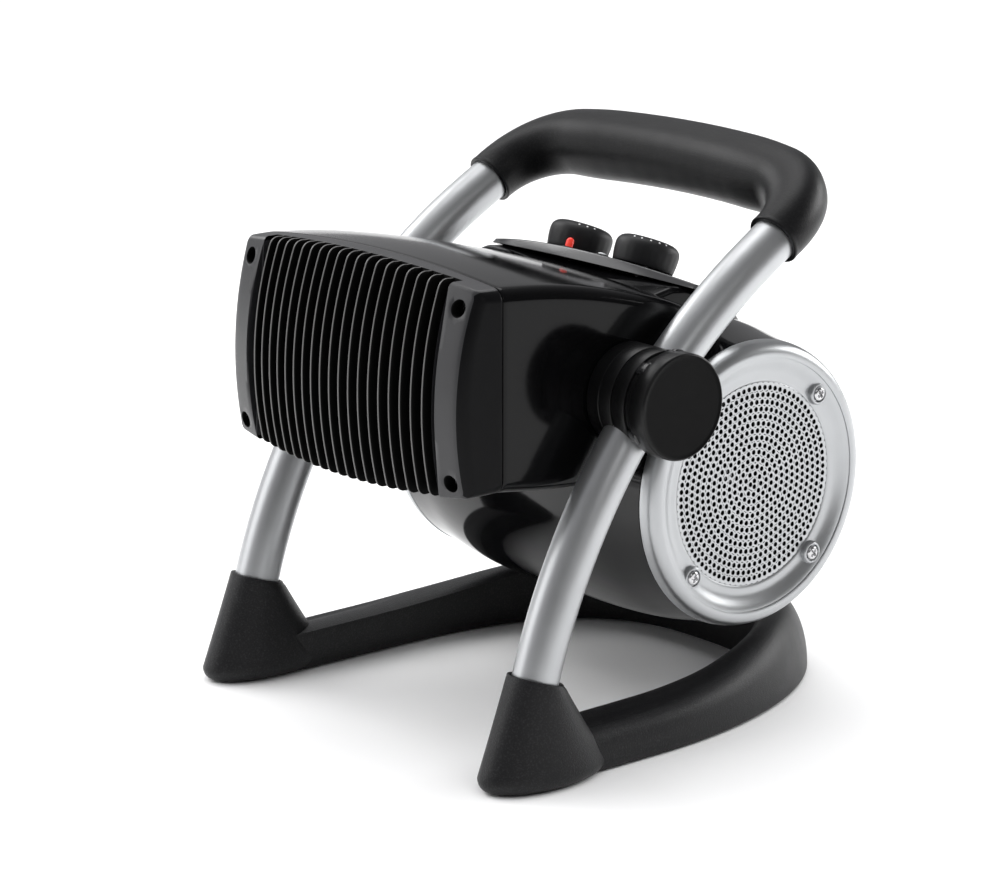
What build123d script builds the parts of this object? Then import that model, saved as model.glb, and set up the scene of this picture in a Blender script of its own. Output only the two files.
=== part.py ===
from build123d import *
from math import sin, cos, tan, radians, sqrt
import os

os.makedirs("parts", exist_ok=True)

# ---------------------------------------------------------------- driving dimensions (mm)
# Working frame: X across (0 = middle), Y = 0 on the tilt axis with the outlet facing -Y, floor at Z = FLOOR.
# Everything is shifted on export so that the origin is the middle of the footprint box, on the floor.
FLOOR = 3.2
Y_SHIFT = -36.65

# tilt axis
HUB_Z = 173.7
HUB_R = 24.0

# frame tube
TUBE_X = 106.7
TUBE_R = 11.1
TUBE_WALL = 1.5
TUBE_ARC_R = 306.3
TUBE_ARC_Y, TUBE_ARC_Z = 226.4, -33.3

# handle
BAR_Y, BAR_Z = 127.2, 259.0
GRIP_R_END, GRIP_R_BAR = 13.3, 17.2

# base
PAD_H = 1.0
BASE_A, BASE_B, BASE_N = 118.1, 176.1, 2.09
INNER_A, INNER_B, INNER_N = 90.4, 135.5, 2.78
FOOT_X, FOOT_Y, FOOT_AX, FOOT_AY = 107.0, -64.0, 19.2, 35.2
COLLAR_R, COLLAR_PHI = 13.4, 16.3

# head
HEAD_W = 89.9
SEAM_Y = -72.5
WALL = 2.6
FACE_Y, FACE_Z, FACE_R, FACE_PLAN_R = -102.8, 173.9, 165.0, 482.0
SLAT_COUNT, SLAT_T, SLAT_FIELD = 19, 2.0, 70.4
SCREW_X, SCREW_ZT, SCREW_ZB = 77.9, 223.5, 143.3

# blower drum
DRUM_Y, DRUM_Z = 80.1, 116.3
DRUM_PROFILE = [(0, 76.3), (32, 76.2), (50, 75.4), (64, 73.9), (76, 71.9), (90.4, 70.0)]
CAP_X0, CAP_X1 = 90.7, 99.0
CAP_SCREW_R, CAP_SCREW_ANG = 56.3, (43.3, 133.3, 223.3, 313.3)
GRILLE_R = 50.0

# control panel
PANEL_TILT = 22.0
PANEL_Y, PANEL_Z = 58.7, 214.2
PANEL_W, PANEL_T = 73.6, 2.6
KNOB_X, KNOB_Y = 24.2, 71.2
KNOB_R, KNOB_H = 16.2, 15.0
LED_X, LED_Y = 12.4, 55.6
PANEL_CROWN = 3.0

written = {}


def put(name, shape):
    solids = shape.solids()
    if len(solids) == 1:
        out = solids[0]
    else:
        out = Compound(children=list(solids))
    out = Pos(0, Y_SHIFT, -FLOOR) * out
    out.label = name
    export_step(out, f"parts/{name}.step")
    written[name] = out
    b = out.bounding_box()
    print(f"{name:26s} n={len(solids)} X {b.min.X:.1f}..{b.max.X:.1f} Y {b.min.Y:.1f}..{b.max.Y:.1f} Z {b.min.Z:.1f}..{b.max.Z:.1f}")


def xcyl(r, x0, x1, y=0.0, z=HUB_Z):
    return Pos((x0 + x1) / 2, y, z) * Rot(0, 90, 0) * Cylinder(r, abs(x1 - x0))


def xring(ro, ri, x0, x1, y=0.0, z=HUB_Z):
    return xcyl(ro, x0, x1, y, z) - xcyl(ri, x0 - 1, x1 + 1, y, z)


def box(x0, x1, y0, y1, z0, z1):
    return Pos((x0 + x1) / 2, (y0 + y1) / 2, (z0 + z1) / 2) * Box(x1 - x0, y1 - y0, z1 - z0)


def flip(shape):
    return mirror(shape, about=Plane.YZ)


def group(shapes):
    return Compound(children=[s for sh in shapes for s in sh.solids()])


def try_fillet(shape, edges, radii):
    for r in radii:
        try:
            out = fillet(edges, r)
            if out.is_valid and out.volume > 0:
                return out
        except Exception:
            pass
    return shape


# ================================================================= frame: tube
def tube_point(phi):
    return (TUBE_ARC_Y - TUBE_ARC_R * cos(radians(phi)), TUBE_ARC_Z + TUBE_ARC_R * sin(radians(phi)))


def tube_route():
    phi0, phi1, n = 10.4, 59.4, 3
    step = (phi1 - phi0) / n
    rv = TUBE_ARC_R / cos(radians(step / 2))
    side = [(TUBE_X,) + tube_point(phi0)]
    xs = [TUBE_X, TUBE_X, TUBE_X - 0.7]
    for i in range(n):
        a = phi0 + step * (i + 0.5)
        side.append((xs[i], TUBE_ARC_Y - rv * cos(radians(a)), TUBE_ARC_Z + rv * sin(radians(a))))
    # handle corner
    side.append((102.2, 113.0, 255.2))
    right = side
    left = [(-x, y, z) for x, y, z in reversed(side)]
    pts = right + [(0, BAR_Y, BAR_Z)] + left
    radii = [300.0] * n + [38.0] + [420.0] + [38.0] + [300.0] * n
    return pts, radii


route_pts, route_radii = tube_route()
tube_path = FilletPolyline(*route_pts, radius=route_radii)


def sweep_tube(r):
    start = tube_path @ 0
    direction = tube_path % 0
    pl = Plane(origin=start, z_dir=direction)
    return sweep(pl * Circle(r), path=tube_path)


tube_outer = sweep_tube(TUBE_R)
tube_inner = sweep_tube(TUBE_R - TUBE_WALL)
frame_tube = tube_outer - tube_inner
print("tube length", round(tube_path.length, 1), "volume ratio", round(tube_outer.volume / (3.14159265 * TUBE_R ** 2 * tube_path.length), 4))
put("frame_tube", frame_tube)

# ================================================================= handle grip: lofted sleeve round the tube
def path_s_for(y_mm, side=1):
    best, bs = 1e9, 0
    for i in range(0, 1001):
        p = tube_path @ (i / 2000)
        if abs(p.Y - y_mm) < best and p.X > 60:
            best, bs = abs(p.Y - y_mm), i / 2000
    return bs


s_collar = path_s_for(81.5)
grip_sections = []
stations = []
n_half = 14
for i in range(n_half + 1):
    f = i / n_half
    stations.append(s_collar + (0.5 - s_collar) * f)
stations = stations + [1 - s for s in reversed(stations[:-1])]
for s in stations:
    p = tube_path @ s
    t = tube_path % s
    f = min(s, 1 - s)
    g = min(1.0, max(0.0, (f - s_collar) / (0.5 - s_collar) / 0.62))
    g = g * g * (3 - 2 * g)
    r = GRIP_R_END + (GRIP_R_BAR - GRIP_R_END) * g
    up = Vector(0, -sin(radians(25)), cos(radians(25)))
    xd = t.cross(up).normalized()
    grip_sections.append(Plane(origin=p, x_dir=xd, z_dir=t) * Circle(r))
grip_solid = loft(grip_sections)
handle_grip = grip_solid - tube_outer
print("grip solids", len(handle_grip.solids()), handle_grip.is_valid)
put("handle_grip", handle_grip)

# ================================================================= base
def super_pt(a, b, n, t):
    c, s = cos(t), sin(t)
    return ((1 if c >= 0 else -1) * a * abs(c) ** (2 / n), b * abs(s) ** (2 / n))


arm_front = -58.0
BOT = FLOOR + PAD_H
ARM_H = [(-60, 21.0), (10, 21.6), (50, 25.0), (75, 29.0), (105, 33.5), (156, 38.5)]


def arm_height(y):
    for (y0, h0), (y1, h1) in zip(ARM_H[:-1], ARM_H[1:]):
        if y <= y1:
            return h0 + (h1 - h0) * max(0.0, (y - y0)) / (y1 - y0)
    return ARM_H[-1][1]


def base_section(f):
    """f from -1 (right arm, front) through 0 (rear middle) to 1 (left arm, front)."""
    side = 1 if f <= 0 else -1
    u = 1 - abs(f)
    if u < 0.30:
        y = arm_front + (0 - arm_front) * (u / 0.30)
        inner, outer = (INNER_A, y), (BASE_A, y)
    else:
        t = (u - 0.30) / 0.70 * 1.5707963
        inner = super_pt(INNER_A, INNER_B, INNER_N, t)
        outer = super_pt(BASE_A, BASE_B, BASE_N, t)
    ym = (inner[1] + outer[1]) / 2
    k = max(0.0, min(1.0, (ym - 0.0) / 110.0))
    m = 3.6 - 1.55 * k
    h = arm_height(ym) - PAD_H
    hi = h * (0.95 - 0.08 * k)
    ix, iy = side * inner[0], inner[1]
    ox, oy = side * outer[0], outer[1]
    w = sqrt((ox - ix) ** 2 + (oy - iy) ** 2)
    pl = Plane(origin=(ix, iy, BOT), x_dir=((ox - ix) / w, (oy - iy) / w, 0), z_dir=((oy - iy) / w, -(ox - ix) / w, 0))
    xc = 0.28 * w
    pts = []
    for j in range(13):
        a = radians(90.0 * j / 12)
        pts.append((xc + (w - xc) * cos(a) ** (2 / m), h * sin(a) ** (2 / m)))
    pts[-1] = (xc, h)
    ln = Line((0, 0), (w, 0))
    sp = Spline(*([(w, 0)] + pts[1:]), tangents=[(0, 1), (-1, 0)])
    cap = Spline((xc, h), (0.4 * xc, hi + (h - hi) * 0.78), (0, hi), tangents=[(-1, 0), (-0.25, -1)])
    cl = Line((0, hi), (0, 0))
    return pl * make_face([ln, sp, cap, cl])


fs = [-1, -0.85, -0.70, -0.60, -0.50, -0.40, -0.30, -0.20, -0.10, 0]
fs = fs + [-v for v in reversed(fs[:-1])]
u_ring = loft([base_section(v) for v in fs])
print("u_ring", u_ring.volume, u_ring.is_valid)


def foot(side):
    x = side * FOOT_X
    cy, cz = tube_point(COLLAR_PHI)
    td = (0, sin(radians(COLLAR_PHI)), cos(radians(COLLAR_PHI)))
    rise = 6.4
    s0 = Plane(origin=(x, FOOT_Y, BOT), x_dir=(0, 1, 0), z_dir=(0, 0, 1)) * Ellipse(FOOT_AY - 4.0, FOOT_AX - 4.0)
    s1 = Plane(origin=(x, FOOT_Y, BOT + 1.6), x_dir=(0, 1, 0), z_dir=(0, 0, 1)) * Ellipse(FOOT_AY - 1.4, FOOT_AX - 1.4)
    s2 = Plane(origin=(x, FOOT_Y, BOT + rise - 1.2), x_dir=(0, 1, 0), z_dir=(0, 0, 1)) * Ellipse(FOOT_AY, FOOT_AX)
    top = Plane(origin=(side * TUBE_X, cy, cz), x_dir=(0, cos(radians(COLLAR_PHI)), -sin(radians(COLLAR_PHI))), z_dir=td) * Circle(COLLAR_R)
    return loft([s0, s1], ruled=True) + loft([s1, s2], ruled=True) + loft([s2, top])


feet = [foot(1), foot(-1)]
base = u_ring + feet[0] + feet[1]
# keep the inner side of each foot flush with the arm's inner wall where the drum end passes
base = base - tube_outer
# socket bore above the tube's lower end is the tube itself; screw holes come up from below into the tube's end plug
p0 = Vector(*route_pts[0])
screw_holes = [Pos(s * TUBE_X, p0.Y - 1.0, FLOOR) * Cylinder(2.4, 60) for s in (1, -1)]
screw_cbore = [Pos(s * TUBE_X, p0.Y - 1.0, FLOOR) * Cylinder(5.0, 14) for s in (1, -1)]
for h in screw_holes + screw_cbore:
    base = base - h
# pad recesses
pad_spots = [(s * 107.0, -48.0) for s in (1, -1)] + [(s * 46.0, 141.0) for s in (1, -1)]
pads = []
for i, (px, py) in enumerate(pad_spots):
    r = 7.0
    base = base - Pos(px, py, BOT + 0.75) * Cylinder(r, 1.5)
    pads.append(Pos(px, py, FLOOR + (PAD_H + 1.45) / 2) * Cylinder(r - 0.15, PAD_H + 1.45))
print("base solids", len(base.solids()), base.is_valid, base.volume)
put("base_moulding", base)
put("base_pads", group(pads))

# end plugs pressed in the tube's lower ends, held by one screw each from below
plugs, bolts = [], []
for s in (1, -1):
    d = (tube_path % 0) if s == 1 else (tube_path % 1) * -1
    o = (tube_path @ 0) if s == 1 else (tube_path @ 1)
    pl = Plane(origin=(o.X, o.Y, o.Z), z_dir=(d.X, d.Y, d.Z))
    plug = extrude(pl * Circle(TUBE_R - TUBE_WALL - 0.25), amount=12)
    hole = Pos(s * TUBE_X, p0.Y - 1.0, 0) * Cylinder(2.05, 90)
    plugs.append(plug - hole)
    shank = Pos(s * TUBE_X, p0.Y - 1.0, FLOOR + (7.0 + 31.0) / 2) * Cylinder(2.0, 24.0)
    head = Pos(s * TUBE_X, p0.Y - 1.0, FLOOR + 5.4) * Cylinder(4.4, 3.2)
    slot = Pos(s * TUBE_X, p0.Y - 1.0, FLOOR + 4.2) * (Box(6, 1.1, 1.6) + Box(1.1, 6, 1.6))
    bolts.append((shank + head) - slot)
put("tube_end_plugs", group(plugs))
put("base_screws", group(bolts))

# ================================================================= tilt hubs
def hub(side):
    tube_cut = sweep_cut
    inner = xcyl(HUB_R, 91.2, 107.4) + xcyl(9.0, 80.4, 91.2)
    inner = inner - tube_cut - xcyl(5.0, 79, 95.2)
    outer = xcyl(HUB_R, 107.8, 120.4) - tube_cut
    # a step at the outer end that the cap snaps on
    outer = outer - xring(HUB_R + 1, HUB_R - 1.2, 116.4, 121)
    cap = xcyl(25.0, 120.8, 130.7) - xcyl(22.6, 119, 128.5)
    for ang in (75, 132, 205, 318):
        n = Pos(0, 0, HUB_Z) * Rot(ang, 0, 0) * Pos(121.6, 24.6, 0) * Box(3.0, 3.0, 5.0)
        cap = cap - n
    lug = xring(22.4, 20.4, 120.4, 128.4)
    cap_edges = [e for e in cap.edges().filter_by(GeomType.CIRCLE) if abs(e.center().X - 130.7) < 0.01 and abs(e.radius - 25.0) < 0.01]
    cap = try_fillet(cap, cap_edges, [0.8, 0.5])
    cap = cap + (xring(22.6, 21.4, 120.4, 128.5))
    washer = xring(20.0, 12.4, 90.2, 91.2)
    keeper = xring(14.0, 9.0, 81.2, 83.2)
    bolts = []
    # two clamp bolts beside the tube, on the line square to it
    for sg in (1, -1):
        y, z = sg * 16.4 * sin(radians(43)), HUB_Z - sg * 16.4 * cos(radians(43))
        hole = xcyl(1.75, 90, 125, y, z)
        inner = inner - hole
        outer = outer - hole
        b = xcyl(1.5, 94.0, 120.4, y, z) + xcyl(3.0, 120.4, 122.6, y, z)
        b = b - (Pos(122.6, y, z) * Box(1.6, 4.0, 0.8))
        bolts.append(b)
    return inner, outer, cap, washer, keeper, bolts


sweep_cut = tube_outer
inner, outer, cap, washer, keeper, hub_bolts = hub(1)
for nm, sh in (("pivot_clamp_inner", inner), ("pivot_clamp_outer", outer), ("pivot_cap", cap), ("friction_washer", washer), ("pivot_keeper_ring", keeper)):
    put(nm + "_right", sh)
    put(nm + "_left", flip(sh))
put("clamp_bolts", group(hub_bolts + [flip(b) for b in hub_bolts]))
# bushes ride on the head
bush = xring(12.0, 9.06, 84.0, 89.9)
put("pivot_bush_right", bush)
put("pivot_bush_left", flip(bush))

# ================================================================= head housing
SEC = [
    # y, half width, top at the side, bottom at the side, crown top, crown bottom, corner radius
    (-72.5, 89.9, 231.4, 137.4, 5.6, 5.0, 6.0),
    (-46.0, 89.9, 229.0, 133.8, 5.6, 3.5, 6.0),
    (-16.0, 89.9, 224.0, 131.6, 5.4, 2.0, 6.0),
    (12.0, 89.9, 217.0, 131.2, 5.4, 1.2, 6.0),
    (36.0, 89.9, 209.5, 131.2, 5.4, 1.0, 6.0),
    (56.0, 87.5, 200.5, 131.2, 5.0, 1.0, 7.0),
    (74.0, 80.0, 189.0, 131.2, 4.0, 1.0, 8.0),
]


def section(y, w, zt, zb, ct, cb, r, inset=0.0):
    w, zt, zb, r = w - inset, zt - inset, zb + inset, max(r - inset, 1.0)
    pl = Plane(origin=(0, y, 0), x_dir=(1, 0, 0), z_dir=(0, -1, 0))
    a = ThreePointArc((-w, zt), (0, zt + ct), (w, zt))
    b = Line((w, zt), (w, zb))
    c = ThreePointArc((w, zb), (0, zb - cb), (-w, zb))
    d = Line((-w, zb), (-w, zt))
    f = make_face([a, b, c, d])
    f = fillet(f.vertices(), r)
    return pl * f


def nozzle(inset=0.0, front_extra=0.0):
    secs = []
    for i, row in enumerate(SEC):
        y = row[0]
        if i == 0:
            y -= front_extra
        secs.append(section(y, *row[1:], inset=inset))
    return loft(secs)


def drum(inset=0.0, reach=0.0):
    prof = [(x, r - inset) for x, r in DRUM_PROFILE]
    half_len = prof[-1][0] + reach
    pts = [(x, DRUM_Z + r) for x, r in prof]
    pts[-1] = (half_len, pts[-1][1])
    left = [(-x, z) for x, z in reversed(pts[1:])]
    sp = Spline(*(left + pts))
    pl = Plane(origin=(0, DRUM_Y, 0), x_dir=(1, 0, 0), z_dir=(0, -1, 0))
    face = make_face([sp, Line((half_len, pts[-1][1]), (half_len, DRUM_Z)), Line((half_len, DRUM_Z), (-half_len, DRUM_Z)), Line((-half_len, DRUM_Z), (-half_len, pts[-1][1]))])
    return revolve(pl * face, axis=Axis((0, DRUM_Y, DRUM_Z), (1, 0, 0)))


def panel_box(inset=0.0):
    n_y, n_z = sin(radians(PANEL_TILT)), cos(radians(PANEL_TILT))
    sl = -tan(radians(PANEL_TILT))
    drop = inset / n_z
    z0 = PANEL_Z - PANEL_T / n_z - 0.02
    y_a, y_b = 30.0, 109.0
    yb_in = y_b - inset
    pts = [
        (y_a, 150.0), (y_a, 209.0 - inset), (PANEL_Y - 6, z0 - sl * 6 * 0 + 1.2 - drop), (PANEL_Y, z0 - drop),
        (yb_in, z0 + sl * (yb_in - PANEL_Y) - drop), (123.0 - inset, 178.0 - inset), (123.0 - inset, 150.0),
    ]
    wire = Polyline(*pts, close=True)
    f = Plane.YZ * make_face(wire)
    s = extrude(f, amount=69.0 - inset, both=True)
    plan = make_face(Polyline((-(69.0 - inset), 20), (-(69.0 - inset), 68), (-(42.0 - inset), 126), ((42.0 - inset), 126), ((69.0 - inset), 68), ((69.0 - inset), 20), close=True))
    s = s & extrude(Plane.XY * plan, amount=300)
    return s


outer_head = nozzle() + drum() + panel_box()
print("outer head", len(outer_head.solids()), outer_head.is_valid, outer_head.volume)
inner_head = nozzle(WALL, 3.0) + drum(WALL, 4.0) + panel_box(WALL)
print("inner head", len(inner_head.solids()), inner_head.is_valid, inner_head.volume)
head_shell = outer_head - inner_head
# pivot holes and control shaft holes
head_shell = head_shell - xcyl(12.0, 70, 95) - xcyl(12.0, -95, -70)
# corner bosses the grille screws drive into
for sx in (1, -1):
    for z in (SCREW_ZT, SCREW_ZB):
        boss = (Pos(sx * SCREW_X, -66.0, z) * Rot(90, 0, 0) * Cylinder(5.5, 13.0)) & outer_head
        head_shell = head_shell + boss
for sx in (1, -1):
    for z in (SCREW_ZT, SCREW_ZB):
        head_shell = head_shell - Pos(sx * SCREW_X, -66.0, z) * Rot(90, 0, 0) * Cylinder(1.95, 20.0)


def panel_frame(x, y, lift=0.0):
    """A plane square to the control panel, lift above its top face."""
    sl = -tan(radians(PANEL_TILT))
    z = PANEL_Z + sl * (y - PANEL_Y) + PANEL_CROWN * (1 - (x / PANEL_W) ** 2)
    n = Vector(0, sin(radians(PANEL_TILT)), cos(radians(PANEL_TILT)))
    return Plane(origin=(x, y + n.Y * lift, z + n.Z * lift), x_dir=(1, 0, 0), z_dir=(n.X, n.Y, n.Z))


def pcyl(x, y, r, a, b):
    """Cylinder square to the panel from lift a to lift b."""
    return extrude(panel_frame(x, y, a) * Circle(r), amount=b - a)


for s in (1, -1):
    head_shell = head_shell - pcyl(s * KNOB_X, KNOB_Y, 5.0, -12, 6)
    head_shell = head_shell - pcyl(s * LED_X, LED_Y, 3.0, -12, 6)
print("shell", len(head_shell.solids()), head_shell.is_valid, head_shell.volume)
upper_space = box(-200, 200, -200, 300, HUB_Z, 400)
lower_space = box(-200, 200, -200, 300, -50, HUB_Z)
housing_upper = head_shell & upper_space
housing_lower = head_shell & lower_space
# cord inlet at the back, low on the drum
gland_y = DRUM_Y + 76.3 * cos(radians(-25))
gland_z = DRUM_Z + 76.3 * sin(radians(-25))
gl_plane = Plane(origin=(0, DRUM_Y, DRUM_Z), x_dir=(1, 0, 0), z_dir=(0, cos(radians(-25)), sin(radians(-25))))
gland_hole = extrude(gl_plane * Circle(6.0), amount=90)
housing_lower = housing_lower - gland_hole
print("upper", len(housing_upper.solids()), "lower", len(housing_lower.solids()))
put("housing_upper", housing_upper)
put("housing_lower", housing_lower)
gland = extrude(gl_plane.offset(72.0) * Circle(6.0), amount=6.0) + extrude(gl_plane.offset(76.6) * Circle(9.0), amount=3.4)
gland = gland - extrude(gl_plane.offset(60.0) * Circle(3.4), amount=40)
put("cord_inlet_gland", gland)

# ================================================================= front grille
COVER = [
    (-72.9, 89.9, 231.4, 137.4, 5.6, 5.0, 6.0),
    (-84.0, 88.2, 231.6, 137.0, 5.6, 5.4, 5.0),
    (-106.0, 85.0, 231.8, 136.6, 5.8, 5.8, 4.0),
]


def cover_loft(inset=0.0, rear=0.0):
    secs = []
    for i, row in enumerate(COVER):
        y = row[0] + (rear if i == 0 else 0)
        secs.append(section(y, *row[1:], inset=inset))
    return loft(secs)


def face_solid(shift=0.0):
    half = 80.0
    sag = FACE_R - sqrt(FACE_R ** 2 - half ** 2)
    arc = ThreePointArc((FACE_Y + sag, FACE_Z + half), (FACE_Y, FACE_Z), (FACE_Y + sag, FACE_Z - half))
    back = 120.0
    f = make_face([arc, Line((FACE_Y + sag, FACE_Z - half), (back, FACE_Z - half)), Line((back, FACE_Z - half), (back, FACE_Z + half)), Line((back, FACE_Z + half), (FACE_Y + sag, FACE_Z + half))])
    ax = Axis((0, FACE_Y + FACE_PLAN_R, 0), (0, 0, 1))
    r = revolve(Plane.YZ * f, axis=ax, revolution_arc=36)
    r = r.rotate(ax, -18)
    return Pos(0, shift, 0) * r


face0 = face_solid()
cover_outer = cover_loft() & face0
cavity = cover_loft(3.0, 3.0) & face_solid(11.0)
cover = cover_outer - cavity


def face_y(x, z):
    return FACE_Y + (FACE_R - sqrt(FACE_R ** 2 - (z - FACE_Z) ** 2)) + x * x / (2 * FACE_PLAN_R)


for sx in (1, -1):
    for z in (SCREW_ZT, SCREW_ZB):
        boss = (Pos(sx * SCREW_X, -84.0, z) * Rot(90, 0, 0) * Cylinder(6.0, 22.0)) & cover_outer
        cover = cover + boss
pitch = 2 * SLAT_FIELD / (SLAT_COUNT + 1)
slot_w = pitch - SLAT_T
front_of = face_solid(9.0)
tools = []
for i in range(SLAT_COUNT + 1):
    xc = -SLAT_FIELD + pitch * (i + 0.5)
    t = box(xc - slot_w / 2, xc + slot_w / 2, -115, -70, 120, 245) - front_of
    d = box(xc - slot_w / 2, xc + slot_w / 2, -115, -80, 141.5, 227.5)
    tools.append(t + d)
for t in tools:
    cover = cover - t
for sx in (1, -1):
    for z in (SCREW_ZT, SCREW_ZB):
        fy = face_y(SCREW_X, z)
        tool = Plane.XY * make_face(Polyline((0, 0), (3.7, 0), (3.7, 15.0), (2.1, 15.0), (2.1, 50.0), (0, 50.0), close=True))
        tool = revolve(tool, axis=Axis.Y)
        tool = Pos(sx * SCREW_X, fy + 6.8 - 15.0, z) * Rot(0, 37, 0) * tool
        before = cover.volume
        cover = cover - tool
        print("screw hole", sx, z, round(before - cover.volume, 1))
print("cover", len(cover.solids()), cover.is_valid, cover.volume)
cover = max(cover.solids(), key=lambda s: s.volume)
put("front_grille", cover)
screws = []
for sx in (1, -1):
    for z in (SCREW_ZT, SCREW_ZB):
        fy = face_y(SCREW_X, z)
        head = Pos(sx * SCREW_X, fy + 5.6, z) * Rot(90, 0, 0) * Cylinder(3.3, 2.4)
        shank = Pos(sx * SCREW_X, (fy + 6.8 - 61.0) / 2, z) * Rot(90, 0, 0) * Cylinder(1.9, -61.0 - fy - 6.8)
        slot = Pos(sx * SCREW_X, fy + 4.6, z) * (Box(4.2, 1.6, 0.9) + Box(0.9, 1.6, 4.2))
        screws.append((head + shank) - slot)
put("grille_screws", group(screws))

# ================================================================= heater core behind the grille
element_frame = box(-80, 80, -64, -40, 146, 222) - box(-70, 70, -70, -30, 154, 214)
for sx in (1, -1):
    for z in (SCREW_ZT, SCREW_ZB):
        element_frame = element_frame - Pos(sx * SCREW_X, -52, z) * Rot(90, 0, 0) * Cylinder(6.6, 40)
put("element_frame", element_frame)
core = box(-69.7, 69.7, -62, -42, 154.3, 213.7)
# ceramic block with air slots between the fins
for i in range(27):
    x = -67.0 + i * 5.15
    core = core - box(x - 1.7, x + 1.7, -70, -35, 157.5, 182.0) - box(x - 1.7, x + 1.7, -70, -35, 186.0, 210.5)
put("ceramic_heating_element", core)
cutout = box(-12, 12, -40, -33, 214.5, 222)
put("thermal_cutout", cutout)
duct = box(-79.5, 79.5, -39.6, -4, 144.0, 209.0) - box(-77.9, 77.9, -45, 0, 145.6, 207.4)
duct = duct - box(-13, 13, -41, -32, 200, 225)
put("air_duct", duct)

# ================================================================= blower: motor, wheels, inlet rings
motor = xcyl(30.0, -24, 24, DRUM_Y, DRUM_Z) + xcyl(12.0, -29, 29, DRUM_Y, DRUM_Z)
motor = motor - xcyl(8.0, -40, 40, DRUM_Y, DRUM_Z)
put("motor_stator", motor)
bearings = [xring(7.95, 4.05, s * 27 - 2, s * 27 + 2, DRUM_Y, DRUM_Z) for s in (1, -1)]
put("motor_bearings", group(bearings))
bracket = xring(40.0, 30.0, -3, 3, DRUM_Y, DRUM_Z)
for a in (15, -60, -120):
    bracket = bracket + (Pos(0, DRUM_Y, DRUM_Z) * Rot(a, 0, 0) * Pos(0, -DRUM_Y, -DRUM_Z) * box(-3, 3, DRUM_Y + 35, DRUM_Y + 73.4, DRUM_Z - 6, DRUM_Z + 6))
bracket = bracket - xcyl(30.0, -5, 5, DRUM_Y, DRUM_Z)
put("motor_bracket", bracket)
shaft = xcyl(4.0, -79, 79, DRUM_Y, DRUM_Z) + xcyl(7.2, -20, 20, DRUM_Y, DRUM_Z)
put("rotor_shaft", shaft)


def wheel():
    w = xring(46.0, 4.0, 34.0, 36.0, DRUM_Y, DRUM_Z) + xring(8.0, 4.0, 33.0, 46.0, DRUM_Y, DRUM_Z)
    w = w + xring(46.0, 37.0, 73.0, 75.0, DRUM_Y, DRUM_Z)
    for i in range(20):
        bl = Pos(0, DRUM_Y, DRUM_Z) * Rot(i * 18, 0, 0) * Pos(54.5, 41.4, 0) * Rot(24, 0, 0) * Box(39.0, 8.0, 1.3)
        w = w + bl
    return w


wh = wheel()
print("wheel", len(wh.solids()), wh.is_valid)
put("blower_wheel_right", wh)
put("blower_wheel_left", flip(wh))
inlet = xring(67.0, 38.0, 82.0, 84.0, DRUM_Y, DRUM_Z) + xring(40.0, 38.0, 78.0, 82.0, DRUM_Y, DRUM_Z)
inlet = inlet - xcyl(13.5, 70, 95) - xcyl(15.0, 70, 95, 0, HUB_Z)
put("inlet_ring_right", inlet)
put("inlet_ring_left", flip(inlet))

# ================================================================= end caps
def cap_profile_ring():
    pl = Plane(origin=(0, DRUM_Y, DRUM_Z), x_dir=(1, 0, 0), z_dir=(0, -1, 0))
    # from the skirt over the rounded rim to the face and down to the grille seat
    pts_line = make_face([
        Line((CAP_X0, 70.2), (95.4, 68.6)),
        ThreePointArc((95.4, 68.6), (98.1, 66.9), (CAP_X1, 64.0)),
        ThreePointArc((CAP_X1, 64.0), (98.6, 62.6), (97.6, 61.6)),
        Line((97.6, 61.6), (96.2, 51.0)),
        Line((96.2, 51.0), (94.0, GRILLE_R)),
        Line((94.0, GRILLE_R), (CAP_X0, GRILLE_R)),
        Line((CAP_X0, GRILLE_R), (CAP_X0, 70.2)),
    ])
    return revolve(pl * pts_line, axis=Axis((0, DRUM_Y, DRUM_Z), (1, 0, 0)))


def perforated():
    d = xcyl(GRILLE_R - 0.1, 92.2, 94.6, DRUM_Y, DRUM_Z) - xcyl(GRILLE_R - 3.0, 91, 92.9, DRUM_Y, DRUM_Z)
    # ring of vent slots standing for the fine perforation
    holes = []
    for ring, n in ((12.0, 10), (20.0, 16), (28.0, 22), (36.0, 28), (43.5, 34)):
        for i in range(n):
            a = 360.0 * i / n
            holes.append(Pos(93.5, DRUM_Y, DRUM_Z) * Rot(a, 0, 0) * Pos(0, ring, 0) * Rot(0, 90, 0) * Cylinder(1.9, 8))
    return d - holes


ring_r = cap_profile_ring()
cap_screws = []
for a in CAP_SCREW_ANG:
    y = DRUM_Y + CAP_SCREW_R * cos(radians(a))
    z = DRUM_Z + CAP_SCREW_R * sin(radians(a))
    boss = xcyl(6.4, CAP_X0, 97.2, y, z)
    ring_r = ring_r + boss
    ring_r = ring_r - xcyl(3.9, 95.0, 99, y, z) - xcyl(1.9, 85, 99, y, z)
    sc = xcyl(3.5, 95.0, 97.0, y, z) + xcyl(1.7, 84.4, 95.0, y, z)
    sc = sc - (Pos(97.0, y, z) * (Box(1.4, 4.0, 0.8) + Box(1.4, 0.8, 4.0)))
    cap_screws.append(sc)
print("ring", len(ring_r.solids()), ring_r.is_valid)
put("end_cap_right", ring_r)
put("end_cap_left", flip(ring_r))
pf = perforated()
pf = pf - [xcyl(6.5, 90, 99, DRUM_Y + CAP_SCREW_R * cos(radians(a)), DRUM_Z + CAP_SCREW_R * sin(radians(a))) for a in CAP_SCREW_ANG]
print("perf", len(pf.solids()), pf.is_valid)
put("intake_grille_right", pf)
put("intake_grille_left", flip(pf))
put("end_cap_screws_right", group(cap_screws))
put("end_cap_screws_left", group([flip(s) for s in cap_screws]))

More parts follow.
